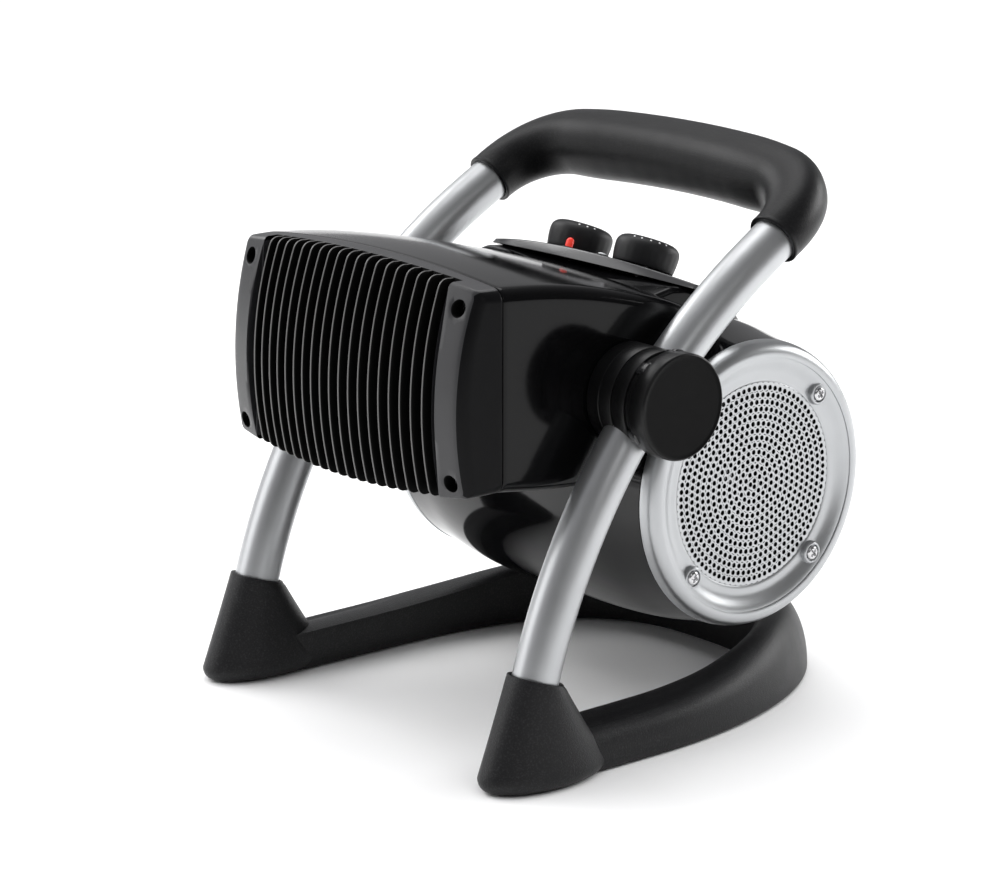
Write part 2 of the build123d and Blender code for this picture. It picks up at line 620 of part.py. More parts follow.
# ================================================================= control panel and knobs
def panel_plan():
    # lens-shaped plate: bowed front edge, straight ends, bowed rear edge, in panel coordinates (x, run back)
    y_end = 0.0
    front = ThreePointArc((-PANEL_W, 2.0), (0, -9.0), (PANEL_W, 2.0))
    r_end = ThreePointArc((PANEL_W, 2.0), (PANEL_W + 1.2, 12.0), (PANEL_W - 5.0, 24.0))
    rear = ThreePointArc((PANEL_W - 5.0, 24.0), (0, 42.0), (-(PANEL_W - 5.0), 24.0))
    l_end = ThreePointArc((-(PANEL_W - 5.0), 24.0), (-(PANEL_W + 1.2), 12.0), (-PANEL_W, 2.0))
    return make_face([front, r_end, rear, l_end])


pbase = panel_frame(0, PANEL_Y, -PANEL_T - PANEL_CROWN * cos(radians(PANEL_TILT)))
plate = extrude(pbase * panel_plan(), amount=PANEL_T + PANEL_CROWN)
crown_r = (PANEL_W ** 2 + PANEL_CROWN ** 2) / (2 * PANEL_CROWN)
top_pl = panel_frame(0, PANEL_Y, 0)
cyl_dir = top_pl.y_dir
crown_cyl = extrude(Plane(origin=top_pl.origin - top_pl.z_dir * crown_r - cyl_dir * 40, x_dir=(1, 0, 0), z_dir=cyl_dir) * Circle(crown_r), amount=120)
plate = plate & crown_cyl
nvec = Vector(0, sin(radians(PANEL_TILT)), cos(radians(PANEL_TILT)))
top_faces = [f for f in plate.faces() if f.geom_type == GeomType.CYLINDER and abs(f.normal_at(f.center()).dot(nvec)) > 0.9]
if top_faces:
    plate = try_fillet(plate, top_faces[0].edges(), [0.8, 0.5, 0.3])
for s in (1, -1):
    plate = plate - pcyl(s * KNOB_X, KNOB_Y, 4.2, -8, 8)
    plate = plate - pcyl(s * LED_X, LED_Y, 2.5, -8, 8)
print("plate", len(plate.solids()), plate.is_valid)
put("control_panel", plate)


def knob(x):
    lo, hi = 0.6, KNOB_H
    pl = panel_frame(x, KNOB_Y, 0)
    prof = Plane(origin=pl.origin, x_dir=pl.x_dir, z_dir=pl.y_dir)
    # revolve section in the plane that holds the axis
    pts = make_face([
        Line((0, lo), (KNOB_R, lo)),
        Line((KNOB_R, lo), (KNOB_R - 0.2, lo + 1.6)),
        Line((KNOB_R - 0.2, lo + 1.6), (KNOB_R - 1.5, hi - 3.4)),
        ThreePointArc((KNOB_R - 1.5, hi - 3.4), (KNOB_R - 2.7, hi - 1.0), (KNOB_R - 5.6, hi - 0.2)),
        Line((KNOB_R - 5.6, hi - 0.2), (0, hi)),
        Line((0, hi), (0, lo)),
    ])
    pln = Plane(origin=pl.origin, x_dir=(1, 0, 0), z_dir=(0, -cos(radians(PANEL_TILT)), sin(radians(PANEL_TILT))))
    n = Vector(0, sin(radians(PANEL_TILT)), cos(radians(PANEL_TILT)))
    k = revolve(pln * pts, axis=Axis(pl.origin, (n.X, n.Y, n.Z)))
    k = k - pcyl(x, KNOB_Y, 3.0, -1, 9.0)
    # pointer ridge line on top
    k = k - extrude(Plane(origin=panel_frame(x, KNOB_Y, hi - 0.6).origin, x_dir=(1, 0, 0), z_dir=(n.X, n.Y, n.Z)) * Pos(0, 8.4) * Rectangle(1.4, 6.0), amount=3)
    return k


kn = knob(-KNOB_X)
print("knob", len(kn.solids()), kn.is_valid)
put("function_knob", kn)
put("thermostat_knob", knob(KNOB_X))
put("selector_shaft", pcyl(-KNOB_X, KNOB_Y, 3.0, -17.0, 9.0))
put("thermostat_shaft", pcyl(KNOB_X, KNOB_Y, 3.0, -17.0, 9.0))


def switch_body(x, wx, wy, d0, d1):
    s = extrude(panel_frame(x, KNOB_Y, -d1) * Rectangle(wx, wy), amount=d1 - d0)
    s = s + pcyl(x, KNOB_Y, 4.9, -d0 - 0.1, -PANEL_T - PANEL_CROWN)
    return s - pcyl(x, KNOB_Y, 3.05, -19, 2)


DEEP = PANEL_T + PANEL_CROWN
put("selector_switch", switch_body(-KNOB_X, 26, 24, DEEP + 3.4, DEEP + 15.5))
put("thermostat_body", switch_body(KNOB_X, 30, 22, DEEP + 3.4, DEEP + 14.0))


def lens(x, h):
    l = pcyl(x, LED_Y, 2.45, -6.0, h)
    dome = Pos(*tuple(panel_frame(x, LED_Y, h).origin)) * Sphere(2.45)
    return l + dome


put("power_indicator_lens", lens(-LED_X, 4.0))
put("caution_indicator_lens", lens(LED_X, 1.6))

# ================================================================= small internals on the head
put("tip_over_switch", box(52, 70, 6, 26, 186, 202))
put("terminal_block", box(-66, -40, 8, 22, 186, 198))
allb = Compound(children=list(written.values())).bounding_box()
print("ALL", allb.min, allb.max, "y mid", (allb.min.Y + allb.max.Y) / 2)
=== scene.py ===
import math
import bpy
import bmesh
import numpy as np
from mathutils import Vector, Matrix
from mathutils.geometry import delaunay_2d_cdt


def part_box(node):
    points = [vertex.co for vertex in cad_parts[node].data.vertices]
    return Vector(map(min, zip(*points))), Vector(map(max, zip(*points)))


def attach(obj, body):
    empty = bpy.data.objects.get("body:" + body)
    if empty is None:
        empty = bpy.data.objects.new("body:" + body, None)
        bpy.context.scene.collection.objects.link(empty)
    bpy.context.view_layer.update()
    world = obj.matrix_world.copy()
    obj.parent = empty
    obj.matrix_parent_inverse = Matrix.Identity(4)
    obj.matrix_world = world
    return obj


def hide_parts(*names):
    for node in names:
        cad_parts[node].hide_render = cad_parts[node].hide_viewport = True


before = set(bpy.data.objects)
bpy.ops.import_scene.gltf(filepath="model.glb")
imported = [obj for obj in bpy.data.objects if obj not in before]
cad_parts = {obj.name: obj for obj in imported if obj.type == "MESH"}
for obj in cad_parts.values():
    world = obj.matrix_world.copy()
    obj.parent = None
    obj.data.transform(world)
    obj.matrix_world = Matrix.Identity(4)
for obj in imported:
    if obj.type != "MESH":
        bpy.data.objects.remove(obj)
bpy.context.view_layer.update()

# ---------------------------------------------------------------- frame of reference
# Everything below is written in millimetres with Y = 0 on the tilt axis and the outlet facing -Y;
# the hub caps of the CAD model say where that is in the row frame.
_lo, _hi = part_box("pivot_cap_right")
HUB_Z = 173.7
HY, HZ = (_lo.y + _hi.y) / 2, (_lo.z + _hi.z) / 2


def R(p):
    p = np.asarray(p, float)
    return np.stack([p[..., 0] * 0.001, p[..., 1] * 0.001 + HY, (p[..., 2] - HUB_Z) * 0.001 + HZ], -1)


def rad(a):
    return math.radians(a)


def smooth(a, b, x):
    t = min(1.0, max(0.0, (x - a) / (b - a)))
    return t * t * (3 - 2 * t)


class M:
    """Vertices and faces of one piece, in millimetres."""

    def __init__(self):
        self.v, self.f, self.m = [], [], []

    def add(self, verts, faces, mat=0):
        o = len(self.v)
        self.v.extend([tuple(map(float, p)) for p in verts])
        for f in faces:
            self.f.append(tuple(i + o for i in f))
            self.m.append(mat)
        return self

    def grid(self, rows, wrap=True, loop=False, cap0=False, cap1=False, mat=0):
        g = np.asarray(rows, float)
        a, b = g.shape[:2]
        faces = []
        for i in range(a if loop else a - 1):
            i2 = (i + 1) % a
            for j in range(b if wrap else b - 1):
                j2 = (j + 1) % b
                faces.append((i * b + j, i * b + j2, i2 * b + j2, i2 * b + j))
        if cap0:
            faces.append(tuple(range(b)))
        if cap1:
            faces.append(tuple((a - 1) * b + j for j in range(b)))
        return self.add(g.reshape(-1, 3), faces, mat)

    def lathe_x(self, prof, y, z, n=128, mat=0, a0=0.0):
        """prof is a list of (x, r); revolved about the line through (y, z) along X."""
        ang = [2 * math.pi * (k + a0) / n for k in range(n)]
        rows = [[(x, y + r * math.cos(t), z + r * math.sin(t)) for t in ang] for x, r in prof]
        return self.grid(rows, mat=mat)

    def lathe(self, prof, frame_m, n=96, mat=0):
        """prof is a list of (h, r) along the local +Z of frame_m (a 4x4 in millimetres)."""
        rows = []
        for h, r in prof:
            rows.append([tuple(frame_m @ Vector((r * math.cos(2 * math.pi * k / n), r * math.sin(2 * math.pi * k / n), h))) for k in range(n)])
        return self.grid(rows, mat=mat)

    def mirrored(self):
        o = M()
        o.v = [(-x, y, z) for x, y, z in self.v]
        o.f = [tuple(reversed(f)) for f in self.f]
        o.m = list(self.m)
        return o

    def build(self, name, body, mats, replaces=(), slot=None, sharp=32, weld=0.0):
        me = bpy.data.meshes.new(name)
        pts = R(np.array(self.v))
        me.from_pydata([tuple(p) for p in pts], [], self.f)
        mats = mats if isinstance(mats, (list, tuple)) else [mats]
        for mt in mats:
            me.materials.append(mt)
        me.polygons.foreach_set("material_index", self.m)
        bm = bmesh.new()
        bm.from_mesh(me)
        if weld:
            bmesh.ops.remove_doubles(bm, verts=bm.verts, dist=weld * 0.001)
        bmesh.ops.recalc_face_normals(bm, faces=bm.faces)
        bm.to_mesh(me)
        bm.free()
        for p in me.polygons:
            p.use_smooth = True
        me.set_sharp_from_angle(angle=math.radians(sharp))
        me.update()
        ob = bpy.data.objects.new(name, me)
        bpy.context.scene.collection.objects.link(ob)
        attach(ob, body)
        if replaces:
            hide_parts(*replaces)
        return ob


# ---------------------------------------------------------------- materials
def principled(name):
    mt = bpy.data.materials.new(name)
    mt.use_nodes = True
    nt = mt.node_tree
    bsdf = nt.nodes["Principled BSDF"]
    return mt, nt, bsdf


def material(name, col, rough, metallic=0.0, spec=0.5, coat=0.0, coat_rough=0.1, tone=0.06, tone_scale=40.0,
             rough_var=0.04, rough_scale=120.0, grain=0.0, grain_scale=2500.0, wave=0.0, wave_scale=600.0, fleck=0.0, stretch=(1, 1, 1)):
    """Moulded or painted surface: colour and roughness vary a little, and a fine grain lifts the normal."""
    mt, nt, b = principled(name)
    N, L = nt.nodes, nt.links
    b.inputs["Metallic"].default_value = metallic
    b.inputs["Specular IOR Level"].default_value = spec
    if coat:
        b.inputs["Coat Weight"].default_value = coat
        b.inputs["Coat Roughness"].default_value = coat_rough
    tc = N.new("ShaderNodeTexCoord")
    mp = N.new("ShaderNodeMapping")
    mp.inputs["Scale"].default_value = stretch
    L.new(tc.outputs["Object"], mp.inputs["Vector"])
    n1 = N.new("ShaderNodeTexNoise")
    n1.inputs["Scale"].default_value = tone_scale
    n1.inputs["Detail"].default_value = 4
    L.new(mp.outputs["Vector"], n1.inputs["Vector"])
    ramp = N.new("ShaderNodeValToRGB")
    lo = [c * (1 - tone) for c in col]
    hi = [min(1, c * (1 + tone)) for c in col]
    ramp.color_ramp.elements[0].position = 0.3
    ramp.color_ramp.elements[1].position = 0.7
    ramp.color_ramp.elements[0].color = (*lo, 1)
    ramp.color_ramp.elements[1].color = (*hi, 1)
    L.new(n1.outputs["Fac"], ramp.inputs["Fac"])
    colour_out = ramp.outputs["Color"]
    if fleck:
        n4 = N.new("ShaderNodeTexNoise")
        n4.inputs["Scale"].default_value = grain_scale * 0.8
        n4.inputs["Detail"].default_value = 1
        L.new(mp.outputs["Vector"], n4.inputs["Vector"])
        mr4 = N.new("ShaderNodeMapRange")
        mr4.inputs["From Min"].default_value = 0.5
        mr4.inputs["From Max"].default_value = 0.75
        mr4.inputs["To Min"].default_value = 0.0
        mr4.inputs["To Max"].default_value = fleck
        L.new(n4.outputs["Fac"], mr4.inputs["Value"])
        mx = N.new("ShaderNodeMix")
        mx.data_type = "RGBA"
        L.new(mr4.outputs["Result"], mx.inputs["Factor"])
        L.new(colour_out, mx.inputs["A"])
        mx.inputs["B"].default_value = (0.5, 0.5, 0.52, 1)
        colour_out = mx.outputs["Result"]
    L.new(colour_out, b.inputs["Base Color"])
    n2 = N.new("ShaderNodeTexNoise")
    n2.inputs["Scale"].default_value = rough_scale
    n2.inputs["Detail"].default_value = 3
    L.new(mp.outputs["Vector"], n2.inputs["Vector"])
    mr = N.new("ShaderNodeMapRange")
    mr.inputs["To Min"].default_value = max(0.0, rough - rough_var)
    mr.inputs["To Max"].default_value = min(1.0, rough + rough_var)
    L.new(n2.outputs["Fac"], mr.inputs["Value"])
    L.new(mr.outputs["Result"], b.inputs["Roughness"])
    last = None
    if grain:
        n3 = N.new("ShaderNodeTexNoise")
        n3.inputs["Scale"].default_value = grain_scale
        n3.inputs["Detail"].default_value = 2
        L.new(mp.outputs["Vector"], n3.inputs["Vector"])
        bp = N.new("ShaderNodeBump")
        bp.inputs["Strength"].default_value = grain
        bp.inputs["Distance"].default_value = 0.0002
        L.new(n3.outputs["Fac"], bp.inputs["Height"])
        last = bp
    if wave:
        n5 = N.new("ShaderNodeTexNoise")
        n5.inputs["Scale"].default_value = wave_scale
        n5.inputs["Detail"].default_value = 1
        L.new(mp.outputs["Vector"], n5.inputs["Vector"])
        bp2 = N.new("ShaderNodeBump")
        bp2.inputs["Strength"].default_value = wave
        bp2.inputs["Distance"].default_value = 0.0004
        L.new(n5.outputs["Fac"], bp2.inputs["Height"])
        if last:
            L.new(last.outputs["Normal"], bp2.inputs["Normal"])
        last = bp2
    if last:
        L.new(last.outputs["Normal"], b.inputs["Normal"])
    return mt


mat_tube = material("tube_satin_silver", (0.50, 0.51, 0.52), 0.38, metallic=0.92, tone=0.03, rough_var=0.02, rough_scale=300)
mat_grip = material("grip_charcoal", (0.0050, 0.0050, 0.0056), 0.38, spec=0.20, tone=0.12, tone_scale=60, rough_var=0.05, grain=0.6, grain_scale=1700, fleck=0.015)
mat_base = material("base_charcoal", (0.0062, 0.0062, 0.0070), 0.43, spec=0.30, tone=0.12, tone_scale=60, rough_var=0.05, grain=0.9, grain_scale=1500, fleck=0.025)
mat_hub = material("hub_black", (0.004, 0.004, 0.0043), 0.33, spec=0.26, tone=0.1, rough_var=0.05, grain=0.12, grain_scale=2800)
mat_cap = material("hub_cap_black", (0.002, 0.002, 0.0021), 0.5, spec=0.08, tone=0.1, rough_var=0.05, grain=0.12, grain_scale=2800)
# lighter, glossier black for the snap hooks: painted highlight
mat_hook_painted_highlight = material("hub_hook_painted_highlight", (0.016, 0.016, 0.017), 0.25, spec=0.6, tone=0.1, rough_var=0.05, grain=0.1, grain_scale=2800)
mat_gloss = material("housing_gloss_black", (0.0025, 0.0025, 0.0028), 0.11, spec=0.17, tone=0.08, rough_var=0.03, rough_scale=200, wave=0.03, wave_scale=90)
mat_grille = material("grille_black", (0.020, 0.020, 0.022), 0.36, spec=0.48, tone=0.10, rough_var=0.05, grain=0.22, grain_scale=2600)
# darker copy of the grille black for the cover's sideways faces: painted shade
mat_side_painted_shade = material("cover_side_painted_shade", (0.0035, 0.0035, 0.004), 0.34, spec=0.10, tone=0.1, rough_var=0.05, grain=0.22, grain_scale=2600)
mat_drum = material("drum_gloss_black", (0.003, 0.003, 0.0034), 0.07, spec=0.36, tone=0.08, rough_var=0.02, rough_scale=200, wave=0.02, wave_scale=90)
# near-black used for slot walls, slat sides, screw wells and the walls of the mesh holes: painted shade
mat_painted_shade = material("inner_painted_shade", (0.0015, 0.0015, 0.0015), 0.6, spec=0.08, tone=0.1)
# lighter grey copy of the grille black for the slats' front edges: painted highlight
mat_edge_painted_highlight = material("grille_edge_painted_highlight", (0.075, 0.073, 0.072), 0.34, spec=0.55, tone=0.08, rough_var=0.05, grain=0.1, grain_scale=2600)
mat_silver = material("cap_satin_silver", (0.46, 0.47, 0.48), 0.34, metallic=0.92, tone=0.02, rough_var=0.015, rough_scale=300)
mat_mesh = material("mesh_satin_silver", (0.48, 0.49, 0.50), 0.30, metallic=0.9, tone=0.02, rough_var=0.015, rough_scale=300)
mat_screw = material("screw_bright", (0.62, 0.62, 0.63), 0.22, metallic=1.0, tone=0.05, rough_var=0.06, rough_scale=600, grain=0.05, grain_scale=3000)
mat_screw_dark = material("screw_black", (0.02, 0.02, 0.02), 0.3, metallic=0.6, tone=0.05, rough_var=0.06, rough_scale=600, grain=0.05)
mat_panel = material("panel_black", (0.003, 0.003, 0.0034), 0.20, spec=0.2, tone=0.1, rough_var=0.05, grain=0.08, grain_scale=2500)
mat_knob = material("knob_charcoal", (0.011, 0.011, 0.012), 0.48, spec=0.3, tone=0.1, rough_var=0.05, grain=0.3, grain_scale=2800)
mat_mark = material("mark_white", (0.75, 0.75, 0.76), 0.5, spec=0.4, tone=0.02, grain=0.05)
mat_steel = material("plain_steel", (0.45, 0.45, 0.46), 0.35, metallic=1.0, tone=0.05, grain=0.08)
mat_nylon = material("white_nylon", (0.62, 0.61, 0.58), 0.5, tone=0.04, grain=0.1)
mat_blacknylon = material("black_nylon", (0.010, 0.010, 0.010), 0.5, tone=0.08, grain=0.1)
mat_fibre = material("fibre_washer", (0.20, 0.12, 0.07), 0.8, tone=0.15, grain=0.4)
mat_rubber = material("pad_rubber", (0.015, 0.015, 0.015), 0.8, tone=0.12, grain=0.4)
mat_motor = material("motor_steel", (0.20, 0.21, 0.22), 0.4, metallic=0.7, tone=0.08, grain=0.1)
mat_brass = material("bearing_brass", (0.5, 0.36, 0.14), 0.35, metallic=1.0, tone=0.06, grain=0.1)
mat_element = material("element_fins", (0.10, 0.095, 0.09), 0.45, metallic=0.7, tone=0.1, grain=0.2)
mat_heatframe = material("element_frame_mica", (0.05, 0.042, 0.034), 0.6, tone=0.15, grain=0.3)
mat_duct = material("duct_sheet", (0.25, 0.25, 0.26), 0.4, metallic=0.9, tone=0.05, grain=0.1)


def lens_material(name, col, emit, strength, trans):
    mt, nt, b = principled(name)
    N, L = nt.nodes, nt.links
    b.inputs["Base Color"].default_value = (*col, 1)
    b.inputs["Roughness"].default_value = 0.15
    b.inputs["Transmission Weight"].default_value = trans
    b.inputs["IOR"].default_value = 1.49
    if strength:
        tc = N.new("ShaderNodeTexCoord")
        n = N.new("ShaderNodeTexNoise")
        n.inputs["Scale"].default_value = 400
        L.new(tc.outputs["Object"], n.inputs["Vector"])
        r = N.new("ShaderNodeValToRGB")
        r.color_ramp.elements[0].color = (emit[0] * 0.7, emit[1] * 0.5, emit[2] * 0.5, 1)
        r.color_ramp.elements[1].color = (min(1, emit[0] * 1.2), min(1, emit[1] * 1.6 + 0.05), min(1, emit[2] * 1.6 + 0.04), 1)
        r.color_ramp.elements[0].position = 0.35
        r.color_ramp.elements[1].position = 0.65
        L.new(n.outputs["Fac"], r.inputs["Fac"])
        L.new(r.outputs["Color"], b.inputs["Emission Color"])
        b.inputs["Emission Strength"].default_value = strength
    return mt


mat_red = lens_material("lens_red_lit", (0.75, 0.02, 0.01), (0.95, 0.07, 0.045), 0.32, 0.15)
mat_clear = lens_material("lens_clear", (0.80, 0.82, 0.84), (0, 0, 0), 0.0, 0.25)

# ---------------------------------------------------------------- frame tube
TUBE_X, TUBE_R = 106.7, 11.1
TUBE_ARC_R, TUBE_ARC_Y, TUBE_ARC_Z = 306.3, 226.4, -33.3
BAR_Y, BAR_Z = 127.2, 259.0


def tube_point(phi):
    return (TUBE_ARC_Y - TUBE_ARC_R * math.cos(rad(phi)), TUBE_ARC_Z + TUBE_ARC_R * math.sin(rad(phi)))


def frame_route():
    phi0, phi1, n = 10.4, 59.4, 3
    step = (phi1 - phi0) / n
    rv = TUBE_ARC_R / math.cos(rad(step / 2))
    side = [(TUBE_X,) + tube_point(phi0)]
    xs = [TUBE_X, TUBE_X, TUBE_X - 0.7]
    for i in range(n):
        a = phi0 + step * (i + 0.5)
        side.append((xs[i], TUBE_ARC_Y - rv * math.cos(rad(a)), TUBE_ARC_Z + rv * math.sin(rad(a))))
    side.append((102.2, 113.0, 255.2))
    left = [(-x, y, z) for x, y, z in reversed(side)]
    pts = side + [(0, BAR_Y, BAR_Z)] + left
    radii = [300.0] * n + [38.0] + [420.0] + [38.0] + [300.0] * n
    return pts, radii


def rounded(pts, radii, arc_step=rad(2.0), line_step=6.0):
    P = [np.array(p, float) for p in pts]
    out = [P[0]]
    for i in range(1, len(P) - 1):
        d1 = P[i] - P[i - 1]
        d1 /= np.linalg.norm(d1)
        d2 = P[i + 1] - P[i]
        d2 /= np.linalg.norm(d2)
        turn = math.acos(max(-1, min(1, float(d1 @ d2))))
        r = radii[i - 1]
        t = r * math.tan(turn / 2)
        a, b = P[i] - d1 * t, P[i] + d2 * t
        bis = (d2 - d1) / np.linalg.norm(d2 - d1)
        c = P[i] + bis * (r / math.cos(turn / 2))
        va = a - c
        ax = np.cross(d1, d2)
        ax /= np.linalg.norm(ax)
        n = max(2, int(math.ceil(turn / arc_step)))
        gap = np.linalg.norm(a - out[-1])
        m = int(gap / line_step)
        base = out[-1]
        for k in range(1, m + 1):
            if k / (m + 1) < 1:
                out.append(base + (a - base) * (k / (m + 1)))
        for k in range(n + 1):
            th = turn * k / n
            p = c + va * math.cos(th) + np.cross(ax, va) * math.sin(th)
            if np.linalg.norm(p - out[-1]) > 1e-6:
                out.append(p)
    base = out[-1]
    gap = np.linalg.norm(P[-1] - base)
    m = int(gap / line_step)
    for k in range(1, m + 1):
        out.append(base + (P[-1] - base) * (k / (m + 1)))
    out.append(P[-1])
    return np.array(out)


route = rounded(*frame_route())
seg = np.linalg.norm(np.diff(route, axis=0), axis=1)
arc_len = np.concatenate([[0], np.cumsum(seg)])
TOTAL = arc_len[-1]


def along(s):
    """Point and unit tangent at distance s along the tube's centre line."""
    s = min(max(s, 0.0), TOTAL)
    p = np.array([np.interp(s, arc_len, route[:, k]) for k in range(3)])
    a, b = max(0.0, s - 1.0), min(TOTAL, s + 1.0)
    q0 = np.array([np.interp(a, arc_len, route[:, k]) for k in range(3)])
    q1 = np.array([np.interp(b, arc_len, route[:, k]) for k in range(3)])
    t = q1 - q0
    return p, t / np.linalg.norm(t)


UP = np.array([0, -math.sin(rad(25)), math.cos(rad(25))])


def section_ring(s, ra, rb=None, n=64, power=2.0):
    p, t = along(s)
    xd = np.cross(t, UP)
    xd /= np.linalg.norm(xd)
    yd = np.cross(xd, t)
    yd /= np.linalg.norm(yd)
    rb = ra if rb is None else rb
    out = []
    for k in range(n):
        a = 2 * math.pi * k / n
        c, sn = math.cos(a), math.sin(a)
        cx = math.copysign(abs(c) ** (2 / power), c) * ra
        sy = math.copysign(abs(sn) ** (2 / power), sn) * rb
        out.append(p + xd * cx + yd * sy)
    return out


stations = sorted(set([0.0, TOTAL] + [float(x) for x in arc_len] + [float(x) for x in np.linspace(0, TOTAL, 150)]))
keep = [stations[0]]
for s in stations[1:]:
    if s - keep[-1] > 1.0:
        keep.append(s)
keep[-1] = TOTAL
tube = M()
tube.grid([section_ring(s, TUBE_R) for s in keep])
tube.grid([section_ring(s, TUBE_R - 1.5) for s in (0.0, 12.0)])
tube.grid([section_ring(0.0, TUBE_R), section_ring(0.0, TUBE_R - 1.5)])
tube.grid([section_ring(TOTAL, TUBE_R), section_ring(TOTAL, TUBE_R - 1.5)])
tube.grid([section_ring(s, TUBE_R - 1.5) for s in (TOTAL - 12.0, TOTAL)])
tube.build("frame_tube_skin", "frame", mat_tube, ["frame_tube"], "tube_silver")

# ---------------------------------------------------------------- handle grip
s_col = min((s for s in np.linspace(0, TOTAL / 2, 2000)), key=lambda s: abs(along(s)[0][1] - 81.5) + (1000 if along(s)[0][0] < 60 else 0))


def grip_r(s):
    f = min(s, TOTAL - s)
    g = smooth(0, 0.62, (f - s_col) / (TOTAL / 2 - s_col))
    return 13.3 + (17.2 - 13.3) * g


grip = M()
rows = [section_ring(s_col + 3.0, TUBE_R + 0.05, n=96), section_ring(s_col + 0.4, TUBE_R + 0.06, n=96), section_ring(s_col, TUBE_R + 0.5, n=96),
        section_ring(s_col, 12.9, n=96), section_ring(s_col + 0.15, 13.25, n=96), section_ring(s_col + 0.6, 13.45, n=96), section_ring(s_col + 1.4, 13.42, n=96), section_ring(s_col + 2.2, 13.3, n=96)]
body_s = [float(x) for x in np.linspace(s_col + 3.2, TOTAL - s_col - 3.2, 150)]
for s in body_s:
    r = grip_r(s)
    rows.append(section_ring(s, r, r, n=96, power=2.0 + 0.25 * smooth(0, 40, min(s, TOTAL - s) - s_col)))
for ds, r in ((2.2, 13.3), (1.4, 13.42), (0.6, 13.45), (0.15, 13.25), (0.0, 12.9), (0.0, TUBE_R + 0.5), (0.4, TUBE_R + 0.06), (3.0, TUBE_R + 0.05)):
    rows.append(section_ring(TOTAL - s_col - ds, r, n=96))
grip.grid(rows)
grip.build("handle_grip_skin", "frame", mat_grip, ["handle_grip"], "grip_charcoal", sharp=50)

# ---------------------------------------------------------------- base moulding
FLOOR, PAD_H = 3.2, 1.0
BOT = FLOOR + PAD_H
BASE_A, BASE_B, BASE_N = 118.1, 176.1, 2.09
INNER_A, INNER_B, INNER_N = 90.4, 135.5, 2.78
FOOT_X, FOOT_Y, FOOT_AX, FOOT_AY = 107.0, -64.0, 19.2, 35.2
COLLAR_R, COLLAR_PHI = 13.4, 16.3
ARM_H = [(-60, 21.0), (10, 21.6), (50, 25.0), (75, 29.0), (105, 33.5), (156, 38.5)]


def arm_height(y):
    ys, hs = [a for a, b in ARM_H], [b for a, b in ARM_H]
    return float(np.mean([np.interp(y + d, ys, hs) for d in (-12, -6, 0, 6, 12)]))


def super_pt(a, b, n, t):
    c, s = math.cos(t), math.sin(t)
    return (math.copysign(a * abs(c) ** (2 / n), c), b * abs(s) ** (2 / n))


def base_ring(f):
    side = 1 if f <= 0 else -1
    u = 1 - abs(f)
    if u < 0.30:
        y = -58.0 + 58.0 * (u / 0.30)
        inner, outer = (INNER_A, y), (BASE_A, y)
    else:
        t = (u - 0.30) / 0.70 * math.pi / 2
        inner, outer = super_pt(INNER_A, INNER_B, INNER_N, t), super_pt(BASE_A, BASE_B, BASE_N, t)
    ym = (inner[1] + outer[1]) / 2
    k = max(0.0, min(1.0, ym / 110.0))
    m = 3.6 - 1.55 * k
    h = arm_height(ym) - PAD_H
    hi = h * (0.95 - 0.08 * k)
    ix, iy = side * inner[0], inner[1]
    ox, oy = side * outer[0], outer[1]
    w = math.hypot(ox - ix, oy - iy)
    dx, dy = (ox - ix) / w, (oy - iy) / w
    xc = 0.28 * w
    crease = 1 - smooth(-45, 45, ym)
    pts = [(0.8, 0.0), (w * 0.5, 0.0), (w - 1.0, 0.0), (w - 0.35, 0.3), (w - 0.05, 1.0)]
    n = 40
    for j in range(1, n + 1):
        a = rad(90.0 * j / n)
        x = xc + (w - xc) * math.cos(a) ** (2 / m)
        z = h * math.sin(a) ** (2 / m)
        # near the feet a soft crease runs between the arm's top and its outer wall
        xk, zk = xc + (w - xc) * 0.60, h * 0.90
        d = ((x - xk) ** 2 + (z - zk) ** 2) ** 0.5
        dip = -0.9 * math.exp(-((x - (xk - 4.2)) / 3.0) ** 2) * (1 if z > 0.5 * h else 0)
        ridge = 0.35 * math.exp(-(d / 1.2) ** 2)
        z2 = z + crease * (dip + ridge)
        pts.append((x, min(z2, h)))
    for j in range(1, 9):
        a = j / 8
        pts.append((xc * (1 - a), h - (h - hi) * a ** 2.2))
    pts.append((0.0, hi - 0.8))
    pts.append((0.0, 1.0))
    pts.append((0.3, 0.3))
    return [(ix + dx * x, iy + dy * x, BOT + z) for x, z in pts]


ring = M()
fs = [float(x) for x in np.linspace(-1, 1, 181)]
rows = [base_ring(f) for f in fs]
ring.grid(rows, cap0=True, cap1=True)


def foot_mesh(side):
    o = M()
    n = 96
    cy, cz = tube_point(COLLAR_PHI)
    td = np.array([0, math.sin(rad(COLLAR_PHI)), math.cos(rad(COLLAR_PHI))])
    yd = np.array([0, math.cos(rad(COLLAR_PHI)), -math.sin(rad(COLLAR_PHI))])
    xd = np.array([1.0, 0, 0])

    def low(z, dr):
        return [(side * FOOT_X + (FOOT_AX - dr) * math.sin(2 * math.pi * k / n), FOOT_Y + (FOOT_AY - dr) * math.cos(2 * math.pi * k / n), z) for k in range(n)]

    def high(r, lift=0.0):
        c = np.array([side * TUBE_X, cy, cz]) + td * lift
        return [tuple(c + yd * r * math.cos(2 * math.pi * k / n) + xd * r * math.sin(2 * math.pi * k / n)) for k in range(n)]

    rows = []
    for j in range(9):
        a = rad(90 * j / 8)
        rows.append(low(BOT + 5.2 * (1 - math.cos(a)), 4.0 * (1 - math.sin(a))))
    a0, a1 = np.array(low(BOT + 5.2, 0.0)), np.array(high(COLLAR_R))
    for j in range(1, 16):
        t = j / 16
        rows.append(a0 + (a1 - a0) * t)
    rows += [high(COLLAR_R - 0.02, -0.6), high(COLLAR_R - 0.12, -0.2), high(COLLAR_R - 0.5, 0.0), high(12.0, 0.0), high(11.6, -0.25), high(11.45, -0.7), high(11.4, -6.0)]
    o.grid(rows, cap0=True)
    return o


